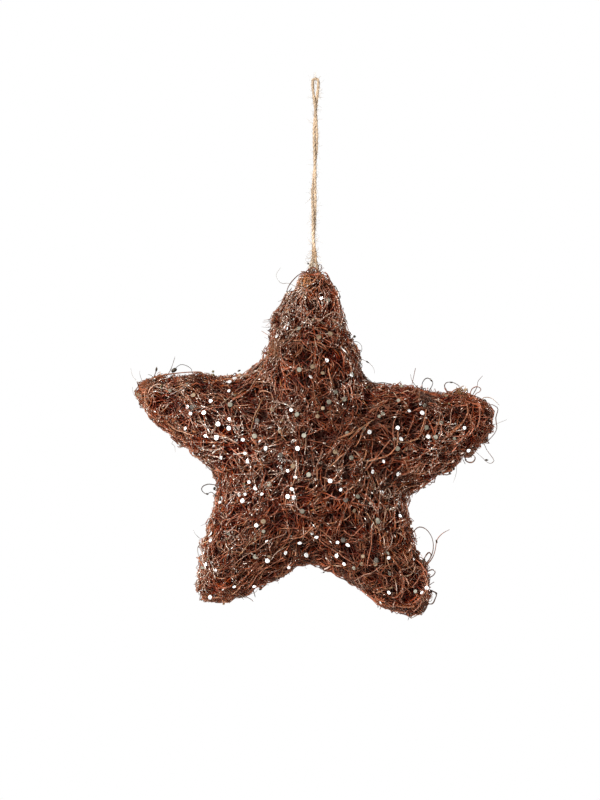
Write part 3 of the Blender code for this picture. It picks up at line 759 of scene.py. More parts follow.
def walk(skin, rng, layer, starts=None):
    """Strands that wander under the skin: their points and the skin's normals, by strand and ring."""
    if starts is None:
        starts = skin.scatter(rng, math.ceil(layer.count / BUNDLE)).repeat(BUNDLE, axis=0)[: layer.count]
        starts = starts + rng.normal(0, BUNDLE_SPREAD, starts.shape)
    count = len(starts)
    sink_middle = rng.uniform(*layer.sink, count)
    weave_length = rng.uniform(*WEAVE_LENGTH, count)
    phase = rng.uniform(0, 2 * math.pi, count)
    curl_middle = layer.curl * bundled(rng, count)
    curl = curl_middle.copy()
    memory = math.exp(-layer.step / CURL_MEMORY)
    lift = loose_ends(rng, layer._replace(count=count))
    at = starts
    heading = across(bundled(rng, count, 3), skin.normal(at))
    points, normals = [], []
    for ring in range(layer.rings):
        sink = sink_middle + layer.weave * np.sin(phase + 2 * math.pi * ring * layer.step / weave_length)
        at, normal = skin.settle(at, sink + relief_at(at) - lift[:, ring])
        points.append(at)
        normals.append(normal)
        kick = layer.wander * math.sqrt(1 - memory**2)
        curl = curl_middle + (curl - curl_middle) * memory + kick * bundled(rng, count)
        kink = rng.normal(0, KINK_TURN, count) * (rng.random(count) < KINK_SHARE)
        heading = turned(across(heading, normal), normal, curl * layer.step + kink)
        grain, edge = grain_at(at, normal)
        pull = layer.grain * (INNER_PULL + EDGE_PULL * edge**3)[:, None]
        side = np.where((heading * grain).sum(axis=1, keepdims=True) < 0, -1, 1)
        heading = across(heading + pull * side * grain, normal)
        at = at + heading * layer.step
    return np.stack(points, axis=1), np.stack(normals, axis=1)


def stray(skin, rng, layer):
    """Short strands that leave the tangle at a slant, curl, and lean back to it."""
    at, normal = skin.settle(skin.scatter(rng, layer.count), rng.uniform(*layer.sink, layer.count))
    rise = rng.uniform(*STRAY_RISE, layer.count)[:, None]
    heading = np.cos(rise) * across(rng.normal(size=at.shape), normal) + np.sin(rise) * normal
    axes = unit(rng.normal(size=at.shape))
    curl = rng.normal(0, layer.curl, layer.count)
    points, normals = [], []
    for _ in range(layer.rings):
        points.append(at)
        normal = skin.normal(at)
        normals.append(normal)
        bend = curl + rng.normal(0, layer.wander, layer.count)
        heading = turned(heading, axes, bend * layer.step)
        high = np.clip(skin.distance(at) / STRAY_HEIGHT, 0, 1.5)[:, None]
        heading = unit(heading - STRAY_RETURN * high * normal)
        at = at + heading * layer.step
    return np.stack(points, axis=1), np.stack(normals, axis=1)


def frost_at(points, normals):
    """What share of the strands is silvered by glitter at each point."""
    share = np.full(points.shape[:-1], FROST_EVERYWHERE)
    for x, y, radius, strength in FROSTED:
        share += strength * nearness(points, x, y, radius)
    return np.where(normals[..., 1] > 0, FROST_BEHIND * share, share)


def pick(rng, choices, shape):
    """Colours drawn from weighted choices."""
    weights, colours = zip(*choices, strict=True)
    return np.array(colours)[rng.choice(len(colours), shape, p=np.array(weights) / sum(weights))]


def tone_at(points):
    """The broad lighter and darker places, front and back alike."""
    tone = np.ones(points.shape[:-1])
    for x, y, radius, factor in TONED:
        tone *= 1 + (factor - 1) * nearness(points, x, y, radius)
    return tone


def depth_shade(skin, points):
    """How light a strand is left by the tangle over it, in red, green and blue: redder as it darkens."""
    depth = -skin.distance(points)
    shade = np.maximum(np.exp(-np.maximum(depth - LIT_DEPTH, 0) / DARKENING_DEPTH), DARKEST)
    return shade[..., None] ** REDDENING


def strand_colours(rng, skin, palette, points, normals):
    """A colour for each ring of each strand."""
    count, rings = points.shape[:2]
    tone = np.exp(np.clip(rng.normal(0, TONE_SPREAD, (count, 1)), *TONE_LIMITS))
    chosen = pick(rng, PALETTES[palette], count) * tone**GREYING
    start = rng.uniform(0, 6, (count, 1))
    bands = np.exp(BANDING * np.sin(start + np.arange(rings) * rng.uniform(*BAND_TURNS, (count, 1))))
    colour = chosen[:, None, :] * bands[..., None] ** GREYING
    frosted = rng.random((count, 1)) < FROSTED_STRANDS * frost_at(points, normals)
    mix = (frosted * rng.uniform(*FROST_MIX, (count, 1)))[..., None]
    colour = colour * (1 - mix) + FROST_COLOUR * mix
    shade = depth_shade(skin, points)
    tone = tone_at(points)[..., None]
    dust = DUST_EVERYWHERE + DUST_BY_FROST * frost_at(points, normals)[..., None]
    dust = np.clip(dust * tone, 0, 1) * shade[..., :1]
    return np.concatenate((colour * tone**GREYING * shade, dust), axis=-1)


def mesh_from_arrays(name, points, loops, totals, colours=None, smooth=True):
    """A mesh from its points, the point of each face corner, and how many corners each face has."""
    mesh = bpy.data.meshes.new(name)
    mesh.vertices.add(len(points))
    mesh.vertices.foreach_set("co", np.asarray(points, dtype=np.float32).ravel())
    mesh.loops.add(len(loops))
    mesh.loops.foreach_set("vertex_index", np.asarray(loops, dtype=np.int32))
    mesh.polygons.add(len(totals))
    starts = np.concatenate(((0,), np.cumsum(totals)[:-1])).astype(np.int32)
    mesh.polygons.foreach_set("loop_start", starts)
    mesh.update(calc_edges=True)
    if colours is not None:
        layer = mesh.color_attributes.new(name="tint", type="FLOAT_COLOR", domain="POINT")
        rgba = np.ones((len(points), 4), dtype=np.float32)
        rgba[:, : colours.shape[-1]] = colours
        layer.data.foreach_set("color", rgba.ravel())
    if smooth:
        mesh.shade_smooth()
    return mesh


def closed(corners):
    """Closed bodies from their points by body, ring and side: points, face corners and face sizes."""
    count, rings, sides = corners.shape[:3]
    number = np.arange(count * rings * sides).reshape(count, rings, sides)
    near, far = number[:, :-1], number[:, 1:]
    quads = np.stack((near, np.roll(near, -1, axis=2), np.roll(far, -1, axis=2), far), axis=-1)
    caps = np.concatenate((number[:, 0, ::-1], number[:, -1]))
    loops = np.concatenate((quads.ravel(), caps.ravel()))
    totals = np.concatenate((np.full(quads.size // 4, 4), np.full(len(caps), sides)))
    return corners.reshape(-1, 3), loops, totals


def tubes(points, normals, radii, sides, turn=None, lobes=None):
    """Closed tubes round paths given by strand and ring: points, face corners and face sizes."""
    tangents = unit(np.gradient(points, axis=1))
    side = across(normals, tangents)
    up = np.cross(tangents, side)
    angles = 2 * math.pi * np.arange(sides) / sides
    shape = np.ones(sides) if lobes is None else lobes
    angles = angles[None, None, :] + (0 if turn is None else turn[..., None])
    out = np.cos(angles)[..., None] * side[:, :, None, :] + np.sin(angles)[..., None] * up[:, :, None, :]
    return closed(points[:, :, None, :] + out * (radii[..., None] * shape)[..., None])


def add_piece(name, mesh, material):
    piece = bpy.data.objects.new(name, mesh)
    bpy.context.scene.collection.objects.link(piece)
    mesh.materials.append(material)
    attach(piece, BODY)
    return piece


class Nodes:
    """A short way to lay out one material's nodes."""

    def __init__(self, name):
        self.material = bpy.data.materials.new(name)
        self.material.use_nodes = True
        self.tree = self.material.node_tree
        self.shader = self.tree.nodes["Principled BSDF"]

    def add(self, kind, **settings):
        node = self.tree.nodes.new(kind)
        for key, value in settings.items():
            setattr(node, key, value)
        return node

    def link(self, source, target):
        self.tree.links.new(source, target)

    def set(self, node=None, **inputs):
        """Sets a node's inputs, or else the shader's: an underscore stands for a space in a name."""
        for key, value in inputs.items():
            (node or self.shader).inputs[key.replace("_", " ")].default_value = value

    def noise(self, scale, detail=3.0, roughness=0.6):
        place = self.add("ShaderNodeTexCoord")
        noise = self.add("ShaderNodeTexNoise")
        self.link(place.outputs["Object"], noise.inputs["Vector"])
        self.set(noise, Scale=scale, Detail=detail, Roughness=roughness)
        return noise.outputs["Fac"]

    def remap(self, value, low, high):
        ramp = self.add("ShaderNodeMapRange")
        self.link(value, ramp.inputs["Value"])
        self.set(ramp, From_Min=0.3, From_Max=0.7, To_Min=low, To_Max=high)
        return ramp.outputs["Result"]

    def scaled_colour(self, colour, factor):
        """A colour, or the colours of a socket, times a factor."""
        scale = self.add("ShaderNodeVectorMath", operation="SCALE")
        if isinstance(colour, tuple):
            scale.inputs[0].default_value = colour
        else:
            self.link(colour, scale.inputs[0])
        self.link(factor, scale.inputs["Scale"])
        return scale.outputs["Vector"]

    def dusted(self, colour, amount):
        """A colour with pale flecks, where a fine noise is high."""
        flecks = self.add("ShaderNodeMapRange")
        self.link(self.noise(1250.0, 2.0), flecks.inputs["Value"])
        self.set(flecks, From_Min=0.57, From_Max=0.64)
        share = self.add("ShaderNodeMath", operation="MULTIPLY")
        self.link(flecks.outputs["Result"], share.inputs[0])
        self.link(amount, share.inputs[1])
        mix = self.add("ShaderNodeMix", data_type="RGBA")
        self.link(share.outputs["Value"], mix.inputs["Factor"])
        self.link(colour, mix.inputs["A"])
        mix.inputs["B"].default_value = DUST_COLOUR
        return mix.outputs["Result"]

    def bump(self, height, strength, distance):
        bump = self.add("ShaderNodeBump")
        self.set(bump, Strength=strength, Distance=distance)
        self.link(height, bump.inputs["Height"])
        self.link(bump.outputs["Normal"], self.shader.inputs["Normal"])


def shaded_core_material():
    nodes = Nodes("shaded_matted_core")
    ramp = nodes.add("ShaderNodeValToRGB")
    # Near-black to dark red, with fine noise: painted shade for the inside of the tangle
    ramp.color_ramp.elements[0].color = (0.009, 0.003, 0.0015, 1)
    ramp.color_ramp.elements[1].color = (0.050, 0.015, 0.007, 1)
    nodes.link(nodes.noise(700.0, 6.0), ramp.inputs["Fac"])
    nodes.link(ramp.outputs["Color"], nodes.shader.inputs["Base Color"])
    nodes.set(Roughness=0.9, Specular_IOR_Level=0.1)
    nodes.bump(nodes.noise(1500.0, 5.0), 1.0, 0.8 * MM)
    return nodes.material


def tinted_material(name, low, high, roughness, specular=0.5, dusty=False, metallic=0.0):
    """A material that takes its colour from each point's tint, with patches from low to high and fine
    grain, and where dusty with pale flecks, as thick as the tint's fourth value says."""
    nodes = Nodes(name)
    tint = nodes.add("ShaderNodeVertexColor", layer_name="tint")
    patches = nodes.remap(nodes.noise(900.0), low, high)
    colour = nodes.scaled_colour(tint.outputs["Color"], patches)
    if dusty:
        colour = nodes.dusted(colour, tint.outputs["Alpha"])
    nodes.link(colour, nodes.shader.inputs["Base Color"])
    nodes.link(nodes.remap(nodes.noise(1500.0), *roughness), nodes.shader.inputs["Roughness"])
    sheen = SHEEN_TINT if not metallic else (1, 1, 1, 1)
    nodes.set(Metallic=metallic, Specular_IOR_Level=specular, Specular_Tint=sheen)
    nodes.bump(nodes.noise(2600.0), 0.4, 0.08 * MM)
    return nodes.material


def tinted_tubes(name, points, normals, radii, sides, colours):
    tints = np.repeat(colours.reshape(-1, colours.shape[-1]), sides, axis=0)
    return mesh_from_arrays(name, *tubes(points, normals, radii, sides), tints)


def fixed_tubes(name, points, radii, sides, colours):
    """Tubes whose sections all have the same side to the front."""
    front = np.broadcast_to((0.0, -1.0, 0.0), points.shape)
    return tinted_tubes(name, points, front, radii, sides, colours)


def with_dust(colours, amount):
    """Colours with how dusty each is as a fourth value."""
    return np.concatenate((colours, np.full((*colours.shape[:-1], 1), amount)), axis=-1)


def tapered(rng, layer, count):
    """Radii by strand and ring: thinner to the ends, and now and then a thick strand."""
    taper = np.sin(np.linspace(0.06, 0.94, layer.rings) * math.pi) ** 0.35
    thick = np.where(rng.random((count, 1)) < THICK_SHARE, THICK_RATIO, 1.0)
    return layer.radius * np.exp(rng.normal(0, UNEVEN_RADII, (count, 1))) * thick * taper


def make_tangle(skin, materials):
    """The layers of strands and the strays. It gives back the outer layers' points and normals."""
    outer = []
    for seed, layer in enumerate((*LAYERS, STRAYS)):
        rng = np.random.default_rng(DRAWS["tangle"] + seed)
        points, normals = (stray if layer is STRAYS else walk)(skin, rng, layer)
        radii = tapered(rng, layer, layer.count)
        colours = strand_colours(rng, skin, layer.palette, points, normals)
        mesh = tinted_tubes(layer.name, points, normals, radii, STRAND_SIDES, colours)
        add_piece(layer.name, mesh, materials[layer.palette])
        if layer.palette == "outer" and layer is not STRAYS:
            outer.append((points, normals))
    return outer


def make_clumps(skin, material):
    """Matted tufts of short curled fibre: those in the photograph, and a few behind."""
    rng = np.random.default_rng(DRAWS["clumps"])
    places = list(skin.seen_at([clump[:2] for clump in CLUMPS]))
    radii = [clump[2] * MM_PER_PIXEL * MM for clump in CLUMPS]
    colours = [clump[3] for clump in CLUMPS]
    spots = skin.scatter(rng, 12 * CLUMPS_BEHIND)
    behind = spots[skin.normal(spots)[:, 1] > CLUMP_FACING_BACK][:CLUMPS_BEHIND]
    places += list(behind)
    radii += radii[: len(behind)]
    colours += colours[: len(behind)]
    starts = []
    for place, radius in zip(places, radii, strict=True):
        starts.append(place + rng.normal(0, CLUMP_SPREAD, (CLUMP.count, 3)) * radius)
    points, normals = walk(skin, rng, CLUMP, np.concatenate(starts))
    tones = np.exp(rng.normal(0, CLUMP_TONES, (len(points), 1)))
    tints = np.repeat(np.array(colours), CLUMP.count, axis=0) * tones
    tints = np.repeat(tints[:, None], CLUMP.rings, axis=1) * depth_shade(skin, points)
    tints = with_dust(tints, CLUMP_DUST)
    radii = tapered(rng, CLUMP, len(points))
    mesh = tinted_tubes("fibre_clumps", points, normals, radii, STRAND_SIDES, tints)
    return add_piece("fibre_clumps", mesh, material)


def smooth_path(stations, count):
    """Points evenly spaced along the smooth curve through stations."""
    before, after = 2 * stations[:1] - stations[1:2], 2 * stations[-1:] - stations[-2:-1]
    padded = np.concatenate((before, stations, after))
    fine = []
    for before, start, end, after in zip(padded, padded[1:], padded[2:], padded[3:]):
        for t in np.linspace(0, 1, 12, endpoint=False):
            fine.append(
                0.5
                * (
                    2 * start
                    + (end - before) * t
                    + (2 * before - 5 * start + 4 * end - after) * t**2
                    + (3 * start - before - 3 * end + after) * t**3
                )
            )
    fine = np.array([*fine, stations[-1]])
    length = np.concatenate(((0,), np.cumsum(np.linalg.norm(np.diff(fine, axis=0), axis=1))))
    even = np.linspace(0, length[-1], count)
    return np.stack([np.interp(even, length, fine[:, i]) for i in range(3)], axis=1)


def seed_depths(skin, pixels, tendrils):
    """How deep each seed lies: on the tendril that passes its pixel, or else on the skin."""
    on_skin = skin.seen_at(pixels)
    along = tendrils.reshape(-1, 3)
    away = np.hypot(*(on_skin[:, None] - along[None])[..., (0, 2)].transpose(2, 0, 1))
    nearest = away.argmin(axis=1)
    return np.where(away.min(axis=1) < SEED_REACH, along[nearest, 1], on_skin[:, 1])


def swelling(rng, share):
    """Slow swelling and thinning along one strand."""
    return 1 + share * np.sin(np.linspace(0, 1, TENDRIL_RINGS) * rng.uniform(6, 16) + rng.uniform(0, 6))


def make_tendrils(skin, material):
    """The tendrils that stand out of the outline, each rooted in the tangle. It gives back their paths."""
    rng = np.random.default_rng(DRAWS["tendrils"])
    paths, radii, colours = [], [], []
    for pixels, radius, colour, forward, both in TENDRILS:
        forward = forward * MM + TENDRIL_FORWARD
        stations = np.array([from_photo(x, y, forward) for x, y in pixels])
        stations[:, 1] += rng.normal(0, TENDRIL_SWAY, len(stations))
        roots = [0, len(stations) - 1] if both else [0]
        inner = {index: skin.settle(stations[index : index + 1], ROOT_DEPTH)[0] for index in roots}
        stations = np.concatenate((inner[0], stations, *[inner[i] for i in roots[1:]]))
        paths.append(smooth_path(stations, TENDRIL_RINGS))
        end = RETURN_SHARE if both else TIP_SHARE
        radii.append(radius * np.linspace(1.0, end, TENDRIL_RINGS) * swelling(rng, 0.18))
        shade = np.exp(rng.normal(0, 0.15, (TENDRIL_RINGS, 1)))
        colours.append(with_dust(np.array(colour) * shade, TENDRIL_DUST))
    paths = np.array(paths)
    mesh = fixed_tubes("tendrils", paths, np.array(radii), TENDRIL_SIDES, np.array(colours))
    add_piece("tendrils", mesh, material)
    return paths


def make_seeds(skin, material, tendrils):
    """Seeds and nodules on the tendrils, and scraps on the edges: each a grain between its two ends."""
    seeds = [(*seed, SEED_COLOUR) for seed in SEEDS] + list(EDGE_SCRAPS)
    ends = np.array([[from_photo(*pixel) for pixel in seed[:2]] for seed in seeds])
    middles = np.array([seed[:2] for seed in seeds]).mean(axis=1)
    ends[:, :, 1] += seed_depths(skin, middles, tendrils)[:, None]
    share = np.linspace(-0.2, 1.2, SEED_RINGS)
    paths = ends[:, :1] + (ends[:, 1:] - ends[:, :1]) * share[None, :, None]
    profile = np.sqrt(np.clip(1 - np.linspace(-0.97, 0.97, SEED_RINGS) ** 2, 0, 1))
    radii = np.array([seed[2] for seed in seeds])[:, None] * MM * profile
    colours = np.repeat(np.array([seed[3] for seed in seeds])[:, None], SEED_RINGS, axis=1)
    mesh = fixed_tubes("seeds", paths, radii, SEED_SIDES, with_dust(colours, 0.0))
    add_piece("seeds", mesh, material)


def make_shown(skin, material):
    """The single strands that show on the front: each lies on the tangle and dives in at its ends."""
    rng = np.random.default_rng(DRAWS["shown"])
    paths, radii, colours = [], [], []
    for pixels, radius, colour in SHOWN:
        stations = skin.seen_at(pixels)
        lifts = rng.uniform(*SHOWN_LIFT, len(stations)) * MM
        lifts = np.concatenate(((-ROOT_DEPTH,), lifts, (-ROOT_DEPTH,)))
        ends = stations[[0, -1]] + (stations[[0, -1]] - stations[[1, -2]]) * END_REACH
        stations, _ = skin.settle(np.concatenate((ends[:1], stations, ends[1:])), -lifts)
        waves = np.cumsum(rng.normal(0, SHOWN_WAVE, (TENDRIL_RINGS, 3)), axis=0)
        drift = np.linspace(waves[0], waves[-1], TENDRIL_RINGS)
        paths.append(smooth_path(stations, TENDRIL_RINGS) + waves - drift)
        radii.append(radius * MM * swelling(rng, 0.12))
        shade = np.exp(rng.normal(0, 0.3, (TENDRIL_RINGS, 1)))
        colours.append(with_dust(np.array(colour) * shade, SHOWN_DUST))
    paths = np.array(paths)
    mesh = fixed_tubes("shown_strands", paths, np.array(radii), TENDRIL_SIDES, np.array(colours))
    add_piece("shown_strands", mesh, material)


def sequin_material(name, colour, metallic, roughness):
    nodes = Nodes(name)
    patches = nodes.remap(nodes.noise(500.0), 0.88, 1.08)
    nodes.link(nodes.scaled_colour(colour, patches), nodes.shader.inputs["Base Color"])
    nodes.link(nodes.remap(nodes.noise(1500.0), *roughness), nodes.shader.inputs["Roughness"])
    nodes.set(Metallic=metallic)
    nodes.bump(nodes.noise(1200.0), 0.15, 0.1 * MM)
    return nodes.material


def flakes(rng, centres, along, radii, lengths, flatness, colours, name):
    """A mesh of flattened eight-sided grains, each with its long axis given."""
    count = len(centres)
    side = across(rng.normal(size=(count, 3)), along)
    thin = flatness * np.cross(along, side)
    long = along * lengths[:, None]
    arms = np.stack((long, side, -long, -side, thin, -thin), axis=1)
    corners = centres[:, None] + radii[:, None, None] * arms
    faces = [(i, (i + 1) % 4, 4) for i in range(4)] + [((i + 1) % 4, i, 5) for i in range(4)]
    loops = (np.array(faces)[None] + 6 * np.arange(count)[:, None, None]).ravel()
    totals = np.full(len(faces) * count, 3)
    tints = np.repeat(colours, 6, axis=0)
    return mesh_from_arrays(name, corners.reshape(-1, 3), loops, totals, tints, smooth=False)


def stuck_on(rng, skin, strands, count, frosty, loose):
    """Places on the outside of the outer strands, and how the strand runs there. Most are where the
    glitter lies thick if frosty is 1 or more."""
    starts = np.concatenate([points[:, :-1].reshape(-1, 3) for points, _ in strands])
    ends = np.concatenate([points[:, 1:].reshape(-1, 3) for points, _ in strands])
    normals = np.concatenate([normals[:, :-1].reshape(-1, 3) for _, normals in strands])
    shallow = np.exp(np.minimum(skin.distance(starts), PROUD) / PROUD_SCALE)
    weights = frost_at(starts, normals) ** frosty * shallow
    chosen = rng.choice(len(starts), count, p=weights / weights.sum())
    starts, ends = starts[chosen], ends[chosen]
    at = starts + (ends - starts) * rng.random((count, 1))
    return at + normals[chosen] * STUCK_OUT + rng.normal(0, loose, (count, 3)), unit(ends - starts)


def make_grains(skin, strands, glitter, husk):
    """Glitter on the outer strands and in tight groups, and scraps of husk."""
    rng = np.random.default_rng(DRAWS["grains"])
    centres, along = stuck_on(rng, skin, strands, FLAKES, FLAKE_CLUSTERING, FLAKE_LOOSENESS)
    groups = skin.seen_at(GRAIN_GROUPS).repeat(GROUP_GRAINS, axis=0)
    groups, _ = skin.settle(groups + rng.normal(0, GROUP_RADIUS, groups.shape), -GROUP_LIFT)
    centres = np.concatenate((centres, groups))
    along = np.concatenate((along, unit(rng.normal(size=groups.shape))))
    radii = FLAKE_RADIUS * np.exp(rng.normal(0, UNEVEN_FLAKES, len(centres)))
    lengths = np.exp(rng.normal(*FLAKE_LENGTHS, len(centres)))
    colours = pick(rng, FLAKE_COLOURS, len(centres))
    colours[FLAKES:] = GROUP_COLOUR
    mesh = flakes(rng, centres, along, radii, lengths, FLAKE_FLATNESS, colours, "glitter")
    add_piece("glitter", mesh, glitter)

    centres, _ = stuck_on(rng, skin, strands, SCRAPS, SCRAP_CLUSTERING, SCRAP_LOOSENESS)
    radii = SCRAP_RADIUS * np.exp(rng.normal(0, UNEVEN_FLAKES, SCRAPS))
    lengths = rng.uniform(*SCRAP_LENGTHS, SCRAPS)
    anyhow = unit(rng.normal(size=(SCRAPS, 3)))
    colours = pick(rng, SCRAP_COLOURS, SCRAPS)
    mesh = flakes(rng, centres, anyhow, radii, lengths, SCRAP_FLATNESS, colours, "husk_scraps")
    add_piece("husk_scraps", mesh, husk)


def discs(centres, normals, radii):
    """Cupped round discs with a rolled rim: points, face corners and face sizes."""
    profile = (
        (0.55, -0.5 * SEQUIN_THICKNESS - SEQUIN_CUP),
        (0.95, -0.5 * SEQUIN_THICKNESS),
        (1.0, 0.0),
        (0.95, 0.5 * SEQUIN_THICKNESS),
        (0.55, 0.5 * SEQUIN_THICKNESS - SEQUIN_CUP),
    )
    side = across(np.broadcast_to((0.3, 0.2, 1.0), normals.shape), normals)
    up = np.cross(normals, side)
    angles = 2 * math.pi * np.arange(SEQUIN_SIDES) / SEQUIN_SIDES
    rim = np.cos(angles)[None, :, None] * side[:, None] + np.sin(angles)[None, :, None] * up[:, None]
    rings = [
        centres[:, None] + rim * (share * radii)[:, None, None] + (height * normals)[:, None]
        for share, height in profile
    ]
    return closed(np.stack(rings, axis=1))


def disc_mesh(rng, name, centres, normals, radii, choices=None):
    """Discs, each with its own tint where there are colours to choose from."""
    corners, loops, totals = discs(centres, normals, radii)
    tints = None
    if choices is not None:
        tints = np.repeat(pick(rng, choices, len(centres)), len(corners) // len(centres), axis=0)
    return mesh_from_arrays(name, corners, loops, totals, tints)


def lay_on_skin(rng, skin, points, lift):
    """Places just over the skin, and normals tilted a little off the skin's own."""
    at, normals = skin.settle(points, -lift)
    return at, unit(normals + rng.normal(0, SEQUIN_TILT, normals.shape) * (1, 0.4, 1))


def make_sequins(skin, silver, dull_shaded):
    """Cupped discs for the CAD's sequins, the other bright ones, and grey ones scattered all over, whose
    grey is painted reflection and shade.
    """
    rng = np.random.default_rng(DRAWS["sequins"])
    names = sorted(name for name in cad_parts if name.startswith("sequin"))
    centres, normals = [], []
    for name in names:
        points = np.array([vertex.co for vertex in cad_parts[name].data.vertices])
        centre = points.mean(axis=0)
        _, _, axes = np.linalg.svd(points - centre)
        centres.append(centre)
        normals.append(axes[2] * np.sign(axes[2] @ skin.normal(centre[None])[0]))
    centres, normals = np.array(centres), np.array(normals)
    shown = skin.seen_at(BRIGHT_SEQUINS)
    gaps = np.linalg.norm(shown[:, None] - centres[None], axis=2)
    near = gaps < SHINES_WITHIN * MM_PER_PIXEL * MM
    bright = near.any(axis=0)
    centres = centres - normals * DULL_SUNK * ~bright[:, None]
    # The CAD sequins that don't shine get the matte grey copy of the silver, its grey painted reflection
    # and shade
    for name, chosen, material in (("sequins", bright, silver), ("grey_sequins", ~bright, dull_shaded)):
        radii = np.full(chosen.sum(), SEQUIN_RADIUS)
        choices = None if material is silver else DULL_AND_SHADED_COLOURS
        mesh = disc_mesh(rng, name, centres[chosen], normals[chosen], radii, choices)
        stood_for = [names[i] for i in np.flatnonzero(chosen)]
        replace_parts(add_piece(name, mesh, material), *stood_for)

    shown = shown[~near.any(axis=1)]
    at, facing = lay_on_skin(rng, skin, shown, rng.uniform(*BRIGHT_LIFT, len(shown)) * MM)
    radii = SEQUIN_RADIUS * rng.uniform(*BRIGHT_SIZES, len(at))
    apart = np.random.default_rng(DRAWS["behind"])
    spots = skin.scatter(apart, 8 * BRIGHT_BEHIND)
    spots = spots[skin.normal(spots)[:, 1] > BEHIND_FACING][:BRIGHT_BEHIND]
    behind, facing_back = lay_on_skin(apart, skin, spots, BEHIND_LIFT)
    at, facing = np.concatenate((at, behind)), np.concatenate((facing, facing_back))
    radii = np.concatenate((radii, SEQUIN_RADIUS * apart.uniform(*BEHIND_SIZES, len(behind))))
    mesh = disc_mesh(rng, "bright_sequins", at, facing, radii)
    add_piece("bright_sequins", mesh, silver)

    spots = skin.scatter(rng, 4 * DULL_SEQUINS)
    front = spots[skin.normal(spots)[:, 1] < 0][: round(DULL_SEQUINS * DULL_SEQUINS_IN_FRONT)]
    back = spots[skin.normal(spots)[:, 1] >= 0][: DULL_SEQUINS - len(front)]
    at = np.concatenate((skin.seen_at(GREY_DISCS), front, back))
    at, facing = lay_on_skin(rng, skin, at, rng.uniform(*DULL_LIFT, len(at)) * MM)
    radii = SEQUIN_RADIUS * rng.uniform(*DULL_SIZES, len(at))
    mesh = disc_mesh(rng, "dull_shaded_sequins", at, facing, radii, DULL_AND_SHADED_COLOURS)
    add_piece("dull_shaded_sequins", mesh, dull_shaded)


def smooth_between(stations, place):
    """The values at a place on the smooth curve through stations, whose first value is the place."""
    index = max(i for i in range(len(stations) - 1) if stations[i][0] <= place)
    before, start, end, after = (
        np.array(stations[min(max(i, 0), len(stations) - 1)]) for i in range(index - 1, index + 3)
    )
    span = end[0] - start[0]
    share = (place - start[0]) / span
    slope_start = (end - before) / (end[0] - before[0]) * span
    slope_end = (after - start) / (after[0] - start[0]) * span
    return (
        (2 * share**3 - 3 * share**2 + 1) * start
        + (share**3 - 2 * share**2 + share) * slope_start
        + (3 * share**2 - 2 * share**3) * end
        + (share**3 - share**2) * slope_end
    )[1:]


def leg_points(side):
    """One leg of the loop, from under the eye down to the end in its socket."""
    first_drop = EYE_RADIUS - TWINE_RADIUS
    last_drop = LOOP_DROP + SOCKET_DEPTH
    stations = [(first_drop, EYE_RADIUS, 0)]
    stations += [(share * LOOP_DROP, half_gap, turn) for share, half_gap, turn in LEG_STATIONS]
    stations += [(last_drop, LEG_SPREAD, LEG_STATIONS[-1][2])]
    steps = round((last_drop - first_drop) / TWINE_STEP)
    points = []
    for drop in np.linspace(first_drop, last_drop, steps + 1):
        half_gap, turn = smooth_between(stations, min(drop, last_drop - MM * 1e-6))
        angle = math.radians(turn)
        drift = np.interp(drop / LOOP_DROP, *zip(*LEG_DRIFT, strict=True))
        points.append((side * half_gap * math.cos(angle) + drift, side * half_gap * math.sin(angle), -drop))
    return points


def twine_route():
    """The centre of the twine: up one leg, round the eye, and down the other."""
    eye_centre = TWINE_RADIUS - EYE_RADIUS
    eye = []
    for step in range(1, EYE_STEPS):
        angle = math.pi * (1 - step / EYE_STEPS)
        eye.append((EYE_RADIUS * math.cos(angle), 0, eye_centre + EYE_RADIUS * math.sin(angle)))
    return np.array(leg_points(-1)[::-1] + eye + leg_points(1))


def hairs(rng, starts, headings, lengths, radius, rings, curl):
    """Fine curling hairs: their points, a fixed side for their sections, and their radii."""
    count = len(starts)
    at, heading = starts.copy(), unit(headings)
    axes = unit(rng.normal(size=(count, 3)))
    bend = rng.normal(0, curl, count)
    points = []
    for _ in range(rings):
        points.append(at)
        at = at + heading * (lengths / (rings - 1))[:, None]
        heading = turned(heading, axes, bend * lengths / (rings - 1))
    points = np.stack(points, axis=1)
    radii = radius * np.exp(rng.normal(0, 0.2, (count, 1))) * np.linspace(1, 0.4, rings)
    return points, np.broadcast_to(unit(np.array((0.4, 0.7, 0.6))), points.shape), radii


